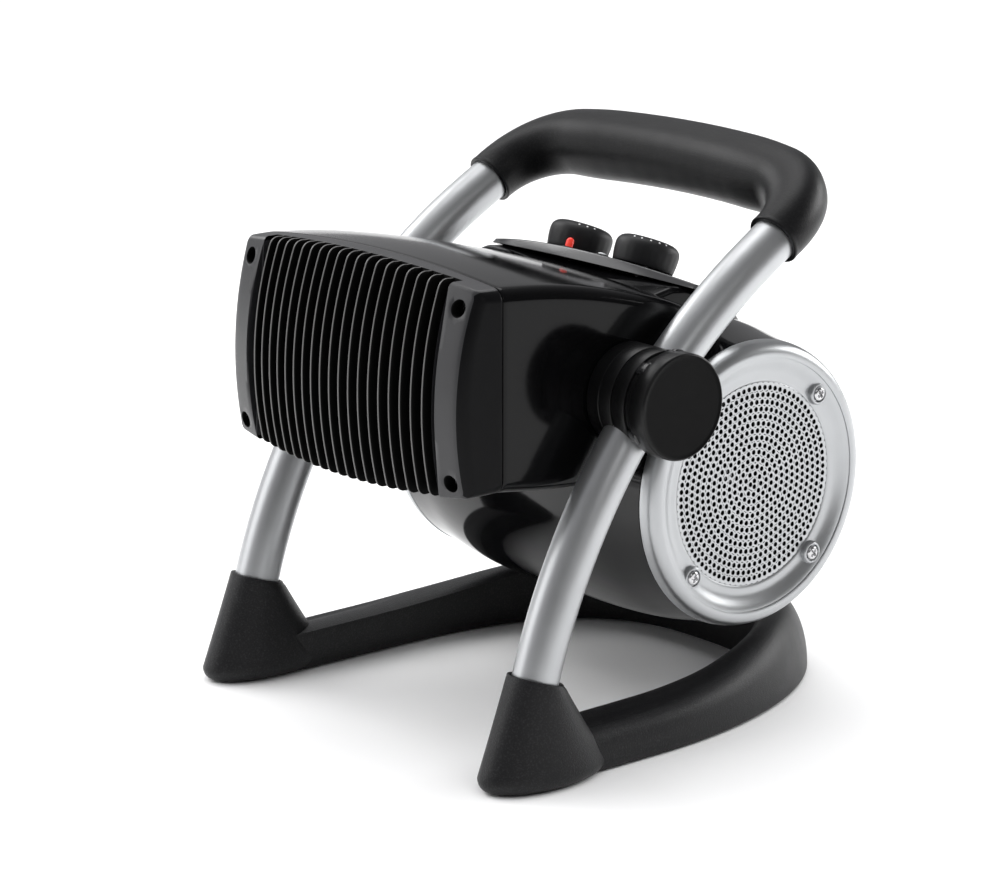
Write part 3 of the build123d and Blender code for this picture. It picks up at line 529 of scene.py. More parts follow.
ring.build("base_ring_skin", "frame", mat_base, ["base_moulding"], "base_black", sharp=40)
foot_mesh(1).build("base_foot_right_skin", "frame", mat_base, [], "base_black", sharp=40)
foot_mesh(-1).build("base_foot_left_skin", "frame", mat_base, [], "base_black", sharp=40)

# ---------------------------------------------------------------- tilt hubs


def hub_parts():
    n = 128
    inner = M()
    inner.lathe_x([(91.2, 12.0), (91.2, 23.6), (91.4, 23.9), (91.7, 24.0), (99.0, 24.0), (99.2, 23.8), (99.35, 23.8), (99.55, 24.0), (107.1, 24.0), (107.35, 23.88), (107.4, 23.6), (107.4, 12.0)], 0, HUB_Z, n)
    outer = M().lathe_x([(107.8, 12.0), (107.8, 23.6), (107.85, 23.88), (108.1, 24.0), (116.0, 24.0), (116.3, 23.88), (116.45, 23.6), (116.5, 22.8), (120.4, 22.8), (120.4, 12.0)], 0, HUB_Z, n)
    cap = M().lathe_x([(120.45, 22.6), (120.5, 24.0), (120.7, 24.7), (121.1, 25.0), (126.0, 25.0), (129.6, 25.0), (130.2, 24.85), (130.55, 24.5), (130.66, 24.1)], 0, HUB_Z, n)
    cap.lathe_x([(130.66, 24.1), (130.62, 23.8), (130.45, 23.6), (130.42, 22.0), (130.40, 12.0), (130.40, 0.01)], 0, HUB_Z, n, mat=1)
    # four snap hooks across the groove between clamp and cap; they take a lighter, glossier black than the hub as a
    # painted highlight
    for ang in (80, 128, 212, 318):
        prof = []
        t0 = rad(ang)
        w = 3.4 / 24.0
        for x, r in ((116.6, 22.6), (116.7, 24.2), (117.2, 24.6), (120.0, 24.6), (120.9, 25.5), (122.8, 25.55), (123.5, 24.9)):
            row = []
            for k in range(9):
                e = abs(k - 4) / 4
                rr = r - (0.9 * smooth(0.6, 1.0, e))
                t = t0 + w * (k - 4) / 4
                row.append((x, rr * math.cos(t), HUB_Z + rr * math.sin(t)))
            prof.append(row)
        cap.grid(prof, wrap=False, mat=2)
    return inner, outer, cap


for sd, sgn in (("right", 1), ("left", -1)):
    a, b, c = hub_parts()
    if sgn < 0:
        a, b, c = a.mirrored(), b.mirrored(), c.mirrored()
    a.build("pivot_clamp_inner_skin_" + sd, "frame", mat_hub, ["pivot_clamp_inner_" + sd], "hub_black")
    b.build("pivot_clamp_outer_skin_" + sd, "frame", mat_hub, ["pivot_clamp_outer_" + sd], "hub_black")
    c.build("pivot_cap_skin_" + sd, "frame", [mat_hub, mat_cap, mat_hook_painted_highlight], ["pivot_cap_" + sd], "hub_black", sharp=40)

# ---------------------------------------------------------------- head: housing
SEC = [
    (-72.5, 89.9, 231.4, 137.4, 5.6, 5.0, 6.0),
    (-46.0, 89.9, 229.0, 133.8, 5.6, 3.5, 6.0),
    (-16.0, 89.9, 224.0, 131.6, 5.4, 2.0, 6.0),
    (12.0, 89.9, 217.0, 131.2, 5.4, 1.2, 6.0),
    (36.0, 89.9, 209.5, 131.2, 5.4, 1.0, 6.0),
    (56.0, 87.5, 200.5, 131.2, 5.0, 1.0, 7.0),
    (74.0, 80.0, 189.0, 131.2, 4.0, 1.0, 8.0),
]
COVER = [
    (-72.9, 89.9, 231.4, 137.4, 5.6, 5.0, 6.0),
    (-84.0, 88.2, 231.6, 137.0, 5.6, 5.4, 5.0),
    (-106.0, 85.0, 231.8, 136.6, 5.8, 5.8, 4.0),
]


def spline(xs, ys, q):
    """Natural cubic through the points, read at q."""
    xs, ys = np.asarray(xs, float), np.asarray(ys, float)
    n = len(xs)
    h = np.diff(xs)
    A = np.zeros((n, n))
    r = np.zeros(n)
    A[0, 0] = A[-1, -1] = 1
    for i in range(1, n - 1):
        A[i, i - 1], A[i, i], A[i, i + 1] = h[i - 1], 2 * (h[i - 1] + h[i]), h[i]
        r[i] = 6 * ((ys[i + 1] - ys[i]) / h[i] - (ys[i] - ys[i - 1]) / h[i - 1])
    m = np.linalg.solve(A, r)
    q = np.atleast_1d(np.asarray(q, float))
    i = np.clip(np.searchsorted(xs, q) - 1, 0, n - 2)
    d, e = q - xs[i], xs[i + 1] - q
    return m[i] * e ** 3 / (6 * h[i]) + m[i + 1] * d ** 3 / (6 * h[i]) + (ys[i] / h[i] - m[i] * h[i] / 6) * e + (ys[i + 1] / h[i] - m[i + 1] * h[i] / 6) * d


def read(table, y):
    xs = [r[0] for r in table]
    return [float(spline(xs, [r[k] for r in table], y)[0]) for k in range(1, 7)]


STRIP_X = 69.4


def rr_loop(w, zt, zb, ct, cb, r, inset=0.0):
    """Round-cornered section as (x, z) points: right side up, over the top, left side down, along the bottom."""
    w, zt, zb, r = w - inset, zt - inset, zb + inset, max(r - inset, 0.8)

    def top(x):
        return zt + ct * (1 - (x / w) ** 2)

    def bot(x):
        return zb - cb * (1 - (x / w) ** 2)

    pts = []
    for z in np.linspace(zb + r, zt - r, 22)[:-1]:
        pts.append((w, z))
    for k in range(12):
        a = rad(90 * k / 12)
        x = w - r + r * math.cos(a)
        pts.append((x, top(x) - r + r * math.sin(a)))
    sx = min(STRIP_X, w - r - 0.5)
    xs = list(np.linspace(w - r, sx, 5)[:-1]) + list(np.linspace(sx, -sx, 61)[:-1]) + list(np.linspace(-sx, -(w - r), 5)[:-1])
    for x in xs:
        pts.append((x, top(x)))
    for k in range(12):
        a = rad(90 + 90 * k / 12)
        x = -(w - r) + r * math.cos(a)
        pts.append((x, top(x) - r + r * math.sin(a)))
    for z in np.linspace(zt - r, zb + r, 22)[:-1]:
        pts.append((-w, z))
    for k in range(12):
        a = rad(180 + 90 * k / 12)
        x = -(w - r) + r * math.cos(a)
        pts.append((x, bot(x) + r + r * math.sin(a)))
    xs = list(np.linspace(-(w - r), -sx, 5)[:-1]) + list(np.linspace(-sx, sx, 61)[:-1]) + list(np.linspace(sx, w - r, 5)[:-1])
    for x in xs:
        pts.append((x, bot(x)))
    for k in range(12):
        a = rad(270 + 90 * k / 12)
        x = w - r + r * math.cos(a)
        pts.append((x, bot(x) + r + r * math.sin(a)))
    return np.array(pts)


I_TR0 = 21 + 12 + 4          # first point of the slotted span along the top (x = +STRIP_X)
I_TR1 = I_TR0 + 60           # x = -STRIP_X along the top
I_BR0 = I_TR1 + 4 + 12 + 21 + 12 + 4   # x = -STRIP_X along the bottom
I_BR1 = I_BR0 + 60           # x = +STRIP_X along the bottom


def loop3(xz, y):
    return [(x, y, z) for x, z in xz]


nozzle = M()
rows = []
for y, ins in ((-60.0, 2.6), (-72.3, 2.6), (-72.5, 2.2), (-72.5, 0.5), (-72.35, 0.15), (-72.0, 0.0)):
    rows.append(loop3(rr_loop(*read(SEC, y), inset=ins), y))
for y in np.linspace(-70.0, 74.0, 60):
    rows.append(loop3(rr_loop(*read(SEC, float(y))), float(y)))
nozzle.grid(rows, cap1=True)

DRUM_Y, DRUM_Z = 80.1, 116.3
DRUM_PROFILE = [(0, 76.3), (32, 76.2), (50, 75.4), (64, 73.9), (76, 71.9), (90.4, 70.0)]
dx = [-x for x, r in reversed(DRUM_PROFILE[1:])] + [x for x, r in DRUM_PROFILE]
dr = [r for x, r in reversed(DRUM_PROFILE[1:])] + [r for x, r in DRUM_PROFILE]
prof = [(-84.0, 60.0), (-90.4, 60.0), (-90.4, 69.6)]
for x in np.linspace(-90.2, 90.2, 90):
    prof.append((float(x), float(spline(dx, dr, float(x))[0])))
prof += [(90.4, 69.6), (90.4, 60.0), (84.0, 60.0)]
drum = M().lathe_x(prof, DRUM_Y, DRUM_Z, n=224)

PANEL_TILT, PANEL_Y, PANEL_Z, PANEL_W, PANEL_T, PANEL_CROWN = 22.0, 58.7, 214.2, 73.6, 2.6, 3.0
cT, sT, tT = math.cos(rad(PANEL_TILT)), math.sin(rad(PANEL_TILT)), math.tan(rad(PANEL_TILT))


def bridge_row(y):
    """Cross-section of the raised bridge under the control panel."""
    hw = float(np.interp(y, [20, 68, 126], [69.0, 69.0, 42.0]))
    zt = PANEL_Z - PANEL_T / cT - 0.02 - tT * (y - PANEL_Y)
    if y < PANEL_Y:
        zt = float(np.interp(y, [30.0, 50.0, PANEL_Y], [209.0, zt + 0.0 if False else 212.4, PANEL_Z - PANEL_T / cT - 0.02]))
    if y > 109:
        zb9 = PANEL_Z - PANEL_T / cT - 0.02 - tT * (109 - PANEL_Y)
        zt = float(np.interp(y, [109, 123], [zb9, 178.0]))
    lo = 150.0
    pts = [(hw, lo)]
    r = 3.0
    for k in range(9):
        a = rad(90 * k / 8)
        pts.append((hw - r + r * math.cos(a), zt - r + r * math.sin(a)))
    for x in np.linspace(hw - r, -(hw - r), 30)[1:-1]:
        pts.append((float(x), zt))
    for k in range(9):
        a = rad(90 + 90 * k / 8)
        pts.append((-(hw - r) + r * math.cos(a), zt - r + r * math.sin(a)))
    pts.append((-hw, lo))
    return [(x, y, z) for x, z in pts]


bridge = M()
bridge.grid([bridge_row(float(y)) for y in list(np.linspace(30, 109, 50)) + [112, 115, 118, 121, 123]], cap0=True, cap1=True)

nozzle.build("housing_nozzle_skin", "head", mat_gloss, ["housing_upper", "housing_lower"], "housing_black", sharp=50)
drum.build("housing_drum_skin", "head", mat_drum, [], "housing_black", sharp=40)
bridge.build("housing_bridge_skin", "head", mat_gloss, [], "housing_black", sharp=40)

# ---------------------------------------------------------------- head: front cover
FACE_Y, FACE_Z, FACE_R, FACE_PLAN_R = -102.8, 173.9, 165.0, 482.0
SLAT_COUNT, SLAT_FIELD = 19, 70.4
SCREW_X, SCREW_ZT, SCREW_ZB = 77.9, 223.5, 143.3


def face_y(x, z):
    return FACE_Y + (FACE_R - math.sqrt(FACE_R ** 2 - (z - FACE_Z) ** 2)) + x * x / (2 * FACE_PLAN_R)


def cover_loop(y, inset=0.0):
    return rr_loop(*[float(np.interp(y, [COVER[2][0], COVER[1][0], COVER[0][0]], [COVER[2][k], COVER[1][k], COVER[0][k]])) for k in range(1, 7)], inset=inset)


base_loop = cover_loop(-100.0)
NL = len(base_loop)
_t = np.roll(base_loop, -1, 0) - np.roll(base_loop, 1, 0)
_n = np.stack([_t[:, 1], -_t[:, 0]], -1)
_n /= np.linalg.norm(_n, axis=1)[:, None]
if (_n[5] @ np.array([1, 0])) < 0:
    _n = -_n
edge_r = 2.0 + 2.8 * np.abs(_n[:, 0]) ** 2


def cover_row(off_of, inset_of):
    """One closed row of the cover's skin: off_of(i) is the distance behind the front face, inset_of(i) the step inwards."""
    out = []
    for i in range(NL):
        x, z = base_loop[i]
        for _ in range(3):
            y = face_y(x, z) + off_of(i)
            lp = cover_rows_cache(y)
            x, z = lp[i]
        ins = inset_of(i)
        x, z = x - _n[i, 0] * ins, z - _n[i, 1] * ins
        out.append((x, face_y(x, z) + off_of(i), z))
    return out


_cache = {}


def cover_rows_cache(y):
    k = round(y * 4) / 4
    if k not in _cache:
        _cache[k] = cover_loop(k)
    return _cache[k]


def fixed_row(y, ins):
    lp = cover_loop(y)
    return [(lp[i, 0] - _n[i, 0] * ins, y, lp[i, 1] - _n[i, 1] * ins) for i in range(NL)]


WRAP = 7.5
cover = M()
rear = [fixed_row(-74.0, 2.6), fixed_row(-72.95, 2.4), fixed_row(-72.9, 0.5), fixed_row(-73.05, 0.15), fixed_row(-73.4, 0.0)]
front_lim = np.array(cover_row(lambda i: WRAP, lambda i: 0.0))
start = np.array(fixed_row(-73.4, 0.0))
rows = [np.array(r) for r in rear]
for t in (0.15, 0.3, 0.45, 0.6, 0.75, 0.9, 1.0):
    yy = start[:, 1] + (front_lim[:, 1] - start[:, 1]) * t
    row = []
    for i in range(NL):
        lp = cover_rows_cache(yy[i]) if t < 1 else None
        row.append((lp[i, 0], yy[i], lp[i, 1]) if t < 1 else tuple(front_lim[i]))
    rows.append(np.array(row))
# faces whose normal points sideways get material 4, a darker copy of the grille black: painted shade on the cover's
# sides
painted_shade_cols = [abs(_n[i, 0]) > 0.5 and abs(_n[(i + 1) % NL, 0]) > 0.5 for i in range(NL)]
f0 = len(cover.f)
cover.grid(np.array(rows))
for q in range(f0, len(cover.f)):
    if painted_shade_cols[(q - f0) % NL]:
        cover.m[q] = 4
# inner wall of the skin, so that the slots end on a real thickness; it is coloured near-black as painted shade
inner = [np.array(cover_row(lambda i: WRAP, lambda i: 0.0)), np.array(cover_row(lambda i: WRAP, lambda i: 2.6)), np.array(cover_row(lambda i: 14.0, lambda i: 2.6)), np.array(fixed_row(-74.0, 2.6))]
cover.grid(np.array(inner), mat=1)

# the two plain strips beside the slats, with their rounded outer edges
edge_rows = [np.array(cover_row(lambda i: WRAP, lambda i: 0.0))]
for off in (6.5, 5.6):
    edge_rows.append(np.array(cover_row(lambda i, o=off: max(o, edge_r[i]), lambda i: 0.0)))
for k in range(0, 9):
    a = rad(90 * k / 8)
    edge_rows.append(np.array(cover_row(lambda i, a=a: edge_r[i] * (1 - math.sin(a)), lambda i, a=a: edge_r[i] * (1 - math.cos(a)))))
edge_rows = np.array(edge_rows)
right_idx = list(range(I_BR1, NL)) + list(range(0, I_TR0 + 1))
left_idx = list(range(I_TR1, I_BR0 + 1))
for idx, sx in ((right_idx, 1), (left_idx, -1)):
    f0 = len(cover.f)
    cover.grid(edge_rows[:, idx, :], wrap=False)
    cols = len(idx) - 1
    # the sideways columns of the rounded edge get the darker black too: painted shade
    for q in range(f0, len(cover.f)):
        row_i, col_i = divmod(q - f0, cols)
        if painted_shade_cols[idx[col_i]] and row_i < 9:
            cover.m[q] = 4
    rim = edge_rows[-1][idx]
    poly = [Vector((p[0], p[2])) for p in rim]
    pts = list(poly)
    edges = [(i, (i + 1) % len(poly)) for i in range(len(poly))]
    faces_in = [list(range(len(poly)))]
    for zc in (SCREW_ZT, SCREW_ZB):
        o = len(pts)
        nh = 40
        for k in range(nh):
            a = 2 * math.pi * k / nh * (-1)
            pts.append(Vector((sx * SCREW_X + 4.1 * math.cos(a), zc + 4.1 * math.sin(a))))
        edges += [(o + k, o + (k + 1) % nh) for k in range(nh)]
    zlo, zhi = min(p.y for p in poly), max(p.y for p in poly)
    for zz in np.linspace(zlo + 3, zhi - 3, 34):
        for xx in np.linspace(STRIP_X + 1.8, 79.6, 5):
            if min(math.hypot(xx - SCREW_X, zz - zc) for zc in (SCREW_ZT, SCREW_ZB)) > 5.6:
                pts.append(Vector((sx * float(xx), float(zz))))
    vo, eo, fo, *_ = delaunay_2d_cdt(pts, edges, [], 0, 1e-4)
    keep_f = []
    pp = [(p.x, p.y) for p in poly]

    def inside(x, y):
        c = False
        j = len(pp) - 1
        for i in range(len(pp)):
            if (pp[i][1] > y) != (pp[j][1] > y) and x < (pp[j][0] - pp[i][0]) * (y - pp[i][1]) / (pp[j][1] - pp[i][1]) + pp[i][0]:
                c = not c
            j = i
        return c

    for f in fo:
        cx = sum(vo[i].x for i in f) / len(f)
        cz = sum(vo[i].y for i in f) / len(f)
        if inside(cx, cz) and min(math.hypot(cx - sx * SCREW_X, cz - zc) for zc in (SCREW_ZT, SCREW_ZB)) > 4.08:
            keep_f.append(tuple(f))
    cover.add([(v.x, face_y(v.x, v.y), v.y) for v in vo], keep_f)
    # side wall towards the first slot
    zs = np.linspace(zlo, zhi, 40)
    cover.grid([[(sx * STRIP_X, face_y(STRIP_X, z) + d, z) for z in zs] for d in (0.0, 0.4, 11.0)], wrap=False)
    for zc in (SCREW_ZT, SCREW_ZB):
        nh = 40
        well = []
        for r, d in ((4.1, None), (3.85, 0.25), (3.7, 0.7), (3.7, 5.6), (0.02, 5.6)):
            row = []
            for k in range(nh):
                a = 2 * math.pi * k / nh
                x, z = sx * SCREW_X + r * math.cos(a), zc + r * math.sin(a)
                row.append((x, face_y(x, z) + (0 if d is None else d), z))
            well.append(row)
        # the screw wells are coloured near-black: painted shade in the recess
        cover.grid(well, mat=2)


def slat(xc):
    """One upright slat: it runs over the top edge, down the curved face and back under the bottom edge."""
    w = 85.6
    top_z = lambda y: float(np.interp(y, [-106, -84, -72.9], [231.8, 231.6, 231.4])) + 5.75 * (1 - (xc / w) ** 2)
    bot_z = lambda y: float(np.interp(y, [-106, -84, -72.9], [136.6, 137.0, 137.4])) - 5.7 * (1 - (xc / w) ** 2)
    zt, zb = top_z(-98), bot_z(-98)
    yt, yb = face_y(xc, zt), face_y(xc, zb)
    rt, rb = 3.8, 4.0
    path = []
    for t in np.linspace(0, 1, 4)[:-1]:
        y = yt + WRAP + 1.2 - (WRAP + 1.2 - rt) * t
        path.append((y, top_z(y)))

    def bez(p0, p1, p2, n):
        return [((1 - t) ** 2 * p0[0] + 2 * t * (1 - t) * p1[0] + t * t * p2[0], (1 - t) ** 2 * p0[1] + 2 * t * (1 - t) * p1[1] + t * t * p2[1]) for t in np.linspace(0, 1, n)]

    path += bez((yt + rt, zt), (yt, zt), (face_y(xc, zt - rt), zt - rt), 9)
    for z in np.linspace(zt - rt, zb + rb, 30)[1:-1]:
        path.append((face_y(xc, float(z)), float(z)))
    path += bez((face_y(xc, zb + rb), zb + rb), (yb, zb), (yb + rb, zb), 9)
    for t in np.linspace(0, 1, 4)[1:]:
        y = yb + rb + (WRAP + 1.2 - rb) * t
        path.append((y, bot_z(y)))
    P = np.array(path)
    T = np.gradient(P, axis=0)
    T /= np.linalg.norm(T, axis=1)[:, None]
    Nn = np.stack([-T[:, 1], T[:, 0]], -1)
    if Nn[len(P) // 2][0] < 0:
        Nn = -Nn
    rows = []
    for (y, z), nn in zip(P, Nn):
        iy = max(y, face_y(xc, min(max(z, zb + 7), zt - 7)) + 9.0)
        iz = min(max(z, zb + 6.5), zt - 6.5)
        row = [(xc - 0.9, iy, iz)]
        for ddx, dd in ((-0.9, 1.3), (-0.66, 0.5), (-0.5, 0.12), (-0.36, 0.0), (0.0, 0.0), (0.36, 0.0), (0.5, 0.12), (0.66, 0.5), (0.9, 1.3)):
            row.append((xc + ddx, y + nn[0] * dd, z + nn[1] * dd))
        row.append((xc + 0.9, iy, iz))
        rows.append(row)
    return np.array(rows)


pitch = 2 * SLAT_FIELD / (SLAT_COUNT + 1)
for i in range(SLAT_COUNT):
    g = slat(-SLAT_FIELD + pitch * (i + 1))
    # the slat sides take the near-black material as painted shade, the rounded fronts the lighter grey as painted
    # highlight
    cover.grid(g[:, 0:4], wrap=False, mat=1)
    cover.grid(g[:, 3:8], wrap=False, mat=3)
    cover.grid(g[:, 7:11], wrap=False, mat=1)
cover.build("front_grille_skin", "head", [mat_grille, mat_painted_shade, mat_painted_shade, mat_edge_painted_highlight, mat_side_painted_shade], ["front_grille"], "grille_black", sharp=45, weld=0.001)

# ---------------------------------------------------------------- screws


def cross_screw(centre, axis, r, h, mat_name, up=(0, 0, 1), twist=0.0, phillips=True):
    """Pan head with a cross recess; axis points out of the head, centre is under the head."""
    o = M()
    z = Vector(axis).normalized()
    x = Vector(up).cross(z).normalized()
    y = z.cross(x)
    rot = Matrix((x, y, z)).transposed().to_4x4()
    fm = Matrix.Translation(Vector(centre)) @ rot @ Matrix.Rotation(twist, 4, "Z")
    n = 64
    radii = [0.02] + [r * t for t in np.linspace(0.06, 0.74, 15)] + [r * 0.84, r * 0.92, r * 0.97, r, r]
    rows = []
    for j, q in enumerate(radii):
        if j == len(radii) - 1:
            hh = 0.0
        else:
            t = q / r
            hh = h * (1 - 0.38 * t ** 6) if t < 0.99 else h * 0.5
        row = []
        for k in range(n):
            a = 2 * math.pi * k / n
            px, py = q * math.cos(a), q * math.sin(a)
            d = 0.0
            if q < r * 0.75:
                arm = 0.15 * r
                inx = smooth(arm * 1.5, arm * 0.7, abs(py)) if False else (1 - smooth(arm * 0.7, arm * 1.4, abs(py)))
                iny = 1 - smooth(arm * 0.7, arm * 1.4, abs(px))
                lim = 1 - smooth(r * 0.5, r * 0.62, q)
                d = max(inx, iny) * lim * h * 0.55
            row.append(tuple(fm @ Vector((px, py, hh - d))))
        rows.append(row)
    o.grid(rows)
    return o


gs = M()
for sx in (1, -1):
    for zc in (SCREW_ZT, SCREW_ZB):
        fy = face_y(SCREW_X, zc)
        s = cross_screw((sx * SCREW_X, fy + 6.8, zc), (0, -1, 0), 3.3, 2.2, None, twist=0.5 * sx)
        o = len(gs.v)
        gs.v += s.v
        gs.f += [tuple(i + o for i in f) for f in s.f]
        gs.m += s.m
gs.build("grille_screws_skin", "head", mat_screw_dark, ["grille_screws"], "screw_dark", sharp=40)

# ---------------------------------------------------------------- end caps, mesh and their screws
CAP_SCREW_R, CAP_SCREW_ANG = 56.3, (43.3, 133.3, 223.3, 313.3)
MESH_X = 95.0
cap_profile = [(94.2, 50.0), (94.9, 50.2), (95.15, 50.6), (95.25, 52.0), (95.3, 53.6), (95.45, 54.8), (95.8, 56.0), (96.4, 57.4), (97.1, 58.8), (97.7, 60.1), (98.05, 61.2), (98.2, 61.9),
               (98.25, 62.25), (98.7, 62.35), (98.85, 62.7), (98.97, 63.6), (98.9, 64.8), (98.6, 66.0), (98.0, 67.2), (97.1, 68.3), (95.9, 69.1), (94.6, 69.6), (93.0, 70.0), (91.6, 70.2), (91.0, 70.15), (90.75, 69.9), (90.7, 69.4), (90.7, 60.0)]


def cap_mesh():
    o = M().lathe_x(cap_profile, DRUM_Y, DRUM_Z, n=224)
    for ang in CAP_SCREW_ANG:
        y = DRUM_Y + CAP_SCREW_R * math.cos(rad(ang))
        z = DRUM_Z + CAP_SCREW_R * math.sin(rad(ang))
        o.lathe_x([(94.6, 5.9), (95.6, 5.7), (96.8, 5.55), (97.5, 5.35), (97.85, 5.0), (97.95, 4.6), (97.9, 4.25), (97.6, 4.05), (96.9, 4.0), (96.3, 3.95), (96.3, 0.02)], y, z, n=48)
    return o


def mesh_disc():
    """Plate with rings of small round holes, with the wall of every hole."""
    o = M()
    radii = [47.2 - 3.5 * k for k in range(13, -1, -1)]
    rh, seg = 1.16, 14
    bounds = [0.0] + [(radii[k] + radii[k + 1]) / 2 for k in range(len(radii) - 1)] + [49.9]

    def pt(r, t, x):
        return (x, DRUM_Y + r * math.cos(t), DRUM_Z + r * math.sin(t))

    for k, r in enumerate(radii):
        n = max(3, int(round(2 * math.pi * r / 3.5)))
        r0, r1 = bounds[k], bounds[k + 1]
        off = (k * 0.37) % 1.0
        for i in range(n):
            t0, t1 = 2 * math.pi * (i + off) / n, 2 * math.pi * (i + 1 + off) / n
            tc = (t0 + t1) / 2
            # outer boundary of the cell, starting from the +radial direction, as many points as the hole has
            outer = []
            for s in range(seg):
                a = 2 * math.pi * s / seg
                ca, sa = math.cos(a), math.sin(a)
                m = max(abs(ca), abs(sa))
                u, v = ca / m, sa / m
                rr = (r0 + r1) / 2 + u * (r1 - r0) / 2
                tt = tc + v * (t1 - t0) / 2
                outer.append(pt(max(rr, 0.0), tt, MESH_X))
            hole, deep, mid = [], [], []
            for s in range(seg):
                a = 2 * math.pi * s / seg
                rr = r + rh * math.cos(a)
                tt_off = rh * math.sin(a)
                y = DRUM_Y + rr * math.cos(tc) - tt_off * math.sin(tc)
                z = DRUM_Z + rr * math.sin(tc) + tt_off * math.cos(tc)
                rl = (rh + 0.16) / rh
                hole.append((MESH_X, DRUM_Y + (r + (rr - r) * rl) * math.cos(tc) - tt_off * rl * math.sin(tc), DRUM_Z + (r + (rr - r) * rl) * math.sin(tc) + tt_off * rl * math.cos(tc)))
                mid.append((MESH_X - 0.16, y, z))
                deep.append((MESH_X - 1.2, y, z))
            o.grid([outer, hole, mid])
            # the hole walls are coloured near-black: painted shade inside the holes of the silver plate
            o.grid([mid, deep], mat=1)
    # rolled edge of the plate
    o.lathe_x([(MESH_X, 49.85), (MESH_X - 0.1, 50.1), (MESH_X - 1.0, 50.15)], DRUM_Y, DRUM_Z, n=200)
    return o


for sd, sgn in (("right", 1), ("left", -1)):
    c, d = cap_mesh(), mesh_disc()
    sc = M()
    for q, ang in enumerate(CAP_SCREW_ANG):
        y = DRUM_Y + CAP_SCREW_R * math.cos(rad(ang))
        z = DRUM_Z + CAP_SCREW_R * math.sin(rad(ang))
        s = cross_screw((96.3, y, z), (1, 0, 0), 3.45, 2.3, None, twist=0.6 + 1.1 * q)
        o = len(sc.v)
        sc.v += s.v
        sc.f += [tuple(i + o for i in f) for f in s.f]
        sc.m += s.m
    if sgn < 0:
        c, d, sc = c.mirrored(), d.mirrored(), sc.mirrored()
    c.build("end_cap_skin_" + sd, "head", mat_silver, ["end_cap_" + sd], "cap_silver", sharp=40)
    d.build("intake_grille_skin_" + sd, "head", [mat_mesh, mat_painted_shade], ["intake_grille_" + sd], "mesh_silver", sharp=30)
    sc.build("end_cap_screws_skin_" + sd, "head", mat_screw, ["end_cap_screws_" + sd], "screw_bright", sharp=40)

# ---------------------------------------------------------------- control panel


def panel_pt(x, run, lift=0.0):
    crown = PANEL_CROWN * (1 - (x / PANEL_W) ** 2)
    return (x, PANEL_Y + run * cT + sT * lift, PANEL_Z - run * sT + crown + cT * lift)


def arc3(p0, p1, p2, n):
    ax, ay = p0
    bx, by = p1
    cx, cy = p2
    d = 2 * (ax * (by - cy) + bx * (cy - ay) + cx * (ay - by))
    ux = ((ax ** 2 + ay ** 2) * (by - cy) + (bx ** 2 + by ** 2) * (cy - ay) + (cx ** 2 + cy ** 2) * (ay - by)) / d
    uy = ((ax ** 2 + ay ** 2) * (cx - bx) + (bx ** 2 + by ** 2) * (ax - cx) + (cx ** 2 + cy ** 2) * (bx - ax)) / d
    r = math.hypot(ax - ux, ay - uy)
    a0, a1, a2 = math.atan2(ay - uy, ax - ux), math.atan2(by - uy, bx - ux), math.atan2(cy - uy, cx - ux)

    def un(a, ref, sign):
        while (a - ref) * sign < 0:
            a += sign * 2 * math.pi
        return a

    sign = 1 if (bx - ax) * (cy - ay) - (by - ay) * (cx - ax) > 0 else -1
    a1 = un(a1, a0, sign)
    a2 = un(a2, a1, sign)
    return [(ux + r * math.cos(a0 + (a2 - a0) * t), uy + r * math.sin(a0 + (a2 - a0) * t)) for t in np.linspace(0, 1, n)[:-1]]


outline = arc3((-PANEL_W, 2.0), (0, -9.0), (PANEL_W, 2.0), 80) + arc3((PANEL_W, 2.0), (PANEL_W + 1.2, 12.0), (PANEL_W - 5.0, 24.0), 20) \
    + arc3((PANEL_W - 5.0, 24.0), (0, 42.0), (-(PANEL_W - 5.0), 24.0), 80) + arc3((-(PANEL_W - 5.0), 24.0), (-(PANEL_W + 1.2), 12.0), (-PANEL_W, 2.0), 20)
OL = np.array(outline)
OC = np.array([0.0, 15.0])


def inset_outline(d):
    t = np.roll(OL, -1, 0) - np.roll(OL, 1, 0)
    n = np.stack([-t[:, 1], t[:, 0]], -1)
    n /= np.linalg.norm(n, axis=1)[:, None]
    if ((OC - OL) * n).sum() < 0:
        n = -n
    return OL + n * d


# lighter, glossier black on the plate's bevelled edge: painted highlight
mat_plate_edge_painted_highlight = material("panel_edge_painted_highlight", (0.03, 0.03, 0.032), 0.22, spec=0.8, tone=0.1, rough_var=0.05, grain=0.05, grain_scale=2500)
plate = M()


def flat_row(o2, lift_from_bottom):
    """Row on the plate's flat underside, raised by some lift."""
    base = -PANEL_T - PANEL_CROWN * cT
    return [(x, PANEL_Y + run * cT + sT * (base + lift_from_bottom), PANEL_Z + PANEL_CROWN - run * sT + cT * (base + lift_from_bottom)) for x, run in o2]


rows = [flat_row(inset_outline(6.0), 0.0), flat_row(inset_outline(0.25), 0.0), flat_row(inset_outline(0.0), 0.25)]
rows.append([panel_pt(x, r, -0.9) for x, r in inset_outline(0.0)])
rows.append([panel_pt(x, r, -0.45) for x, r in inset_outline(0.12)])
rows.append([panel_pt(x, r, -0.15) for x, r in inset_outline(0.4)])
rows.append([panel_pt(x, r, 0.0) for x, r in inset_outline(0.95)])
I0 = inset_outline(0.95)
for t in (0.94, 0.8, 0.62, 0.45, 0.28, 0.12, 0.01):
    rows.append([panel_pt(OC[0] + (x - OC[0]) * t, OC[1] + (r - OC[1]) * t, 0.0) for x, r in I0])
plate.grid(rows[:3])
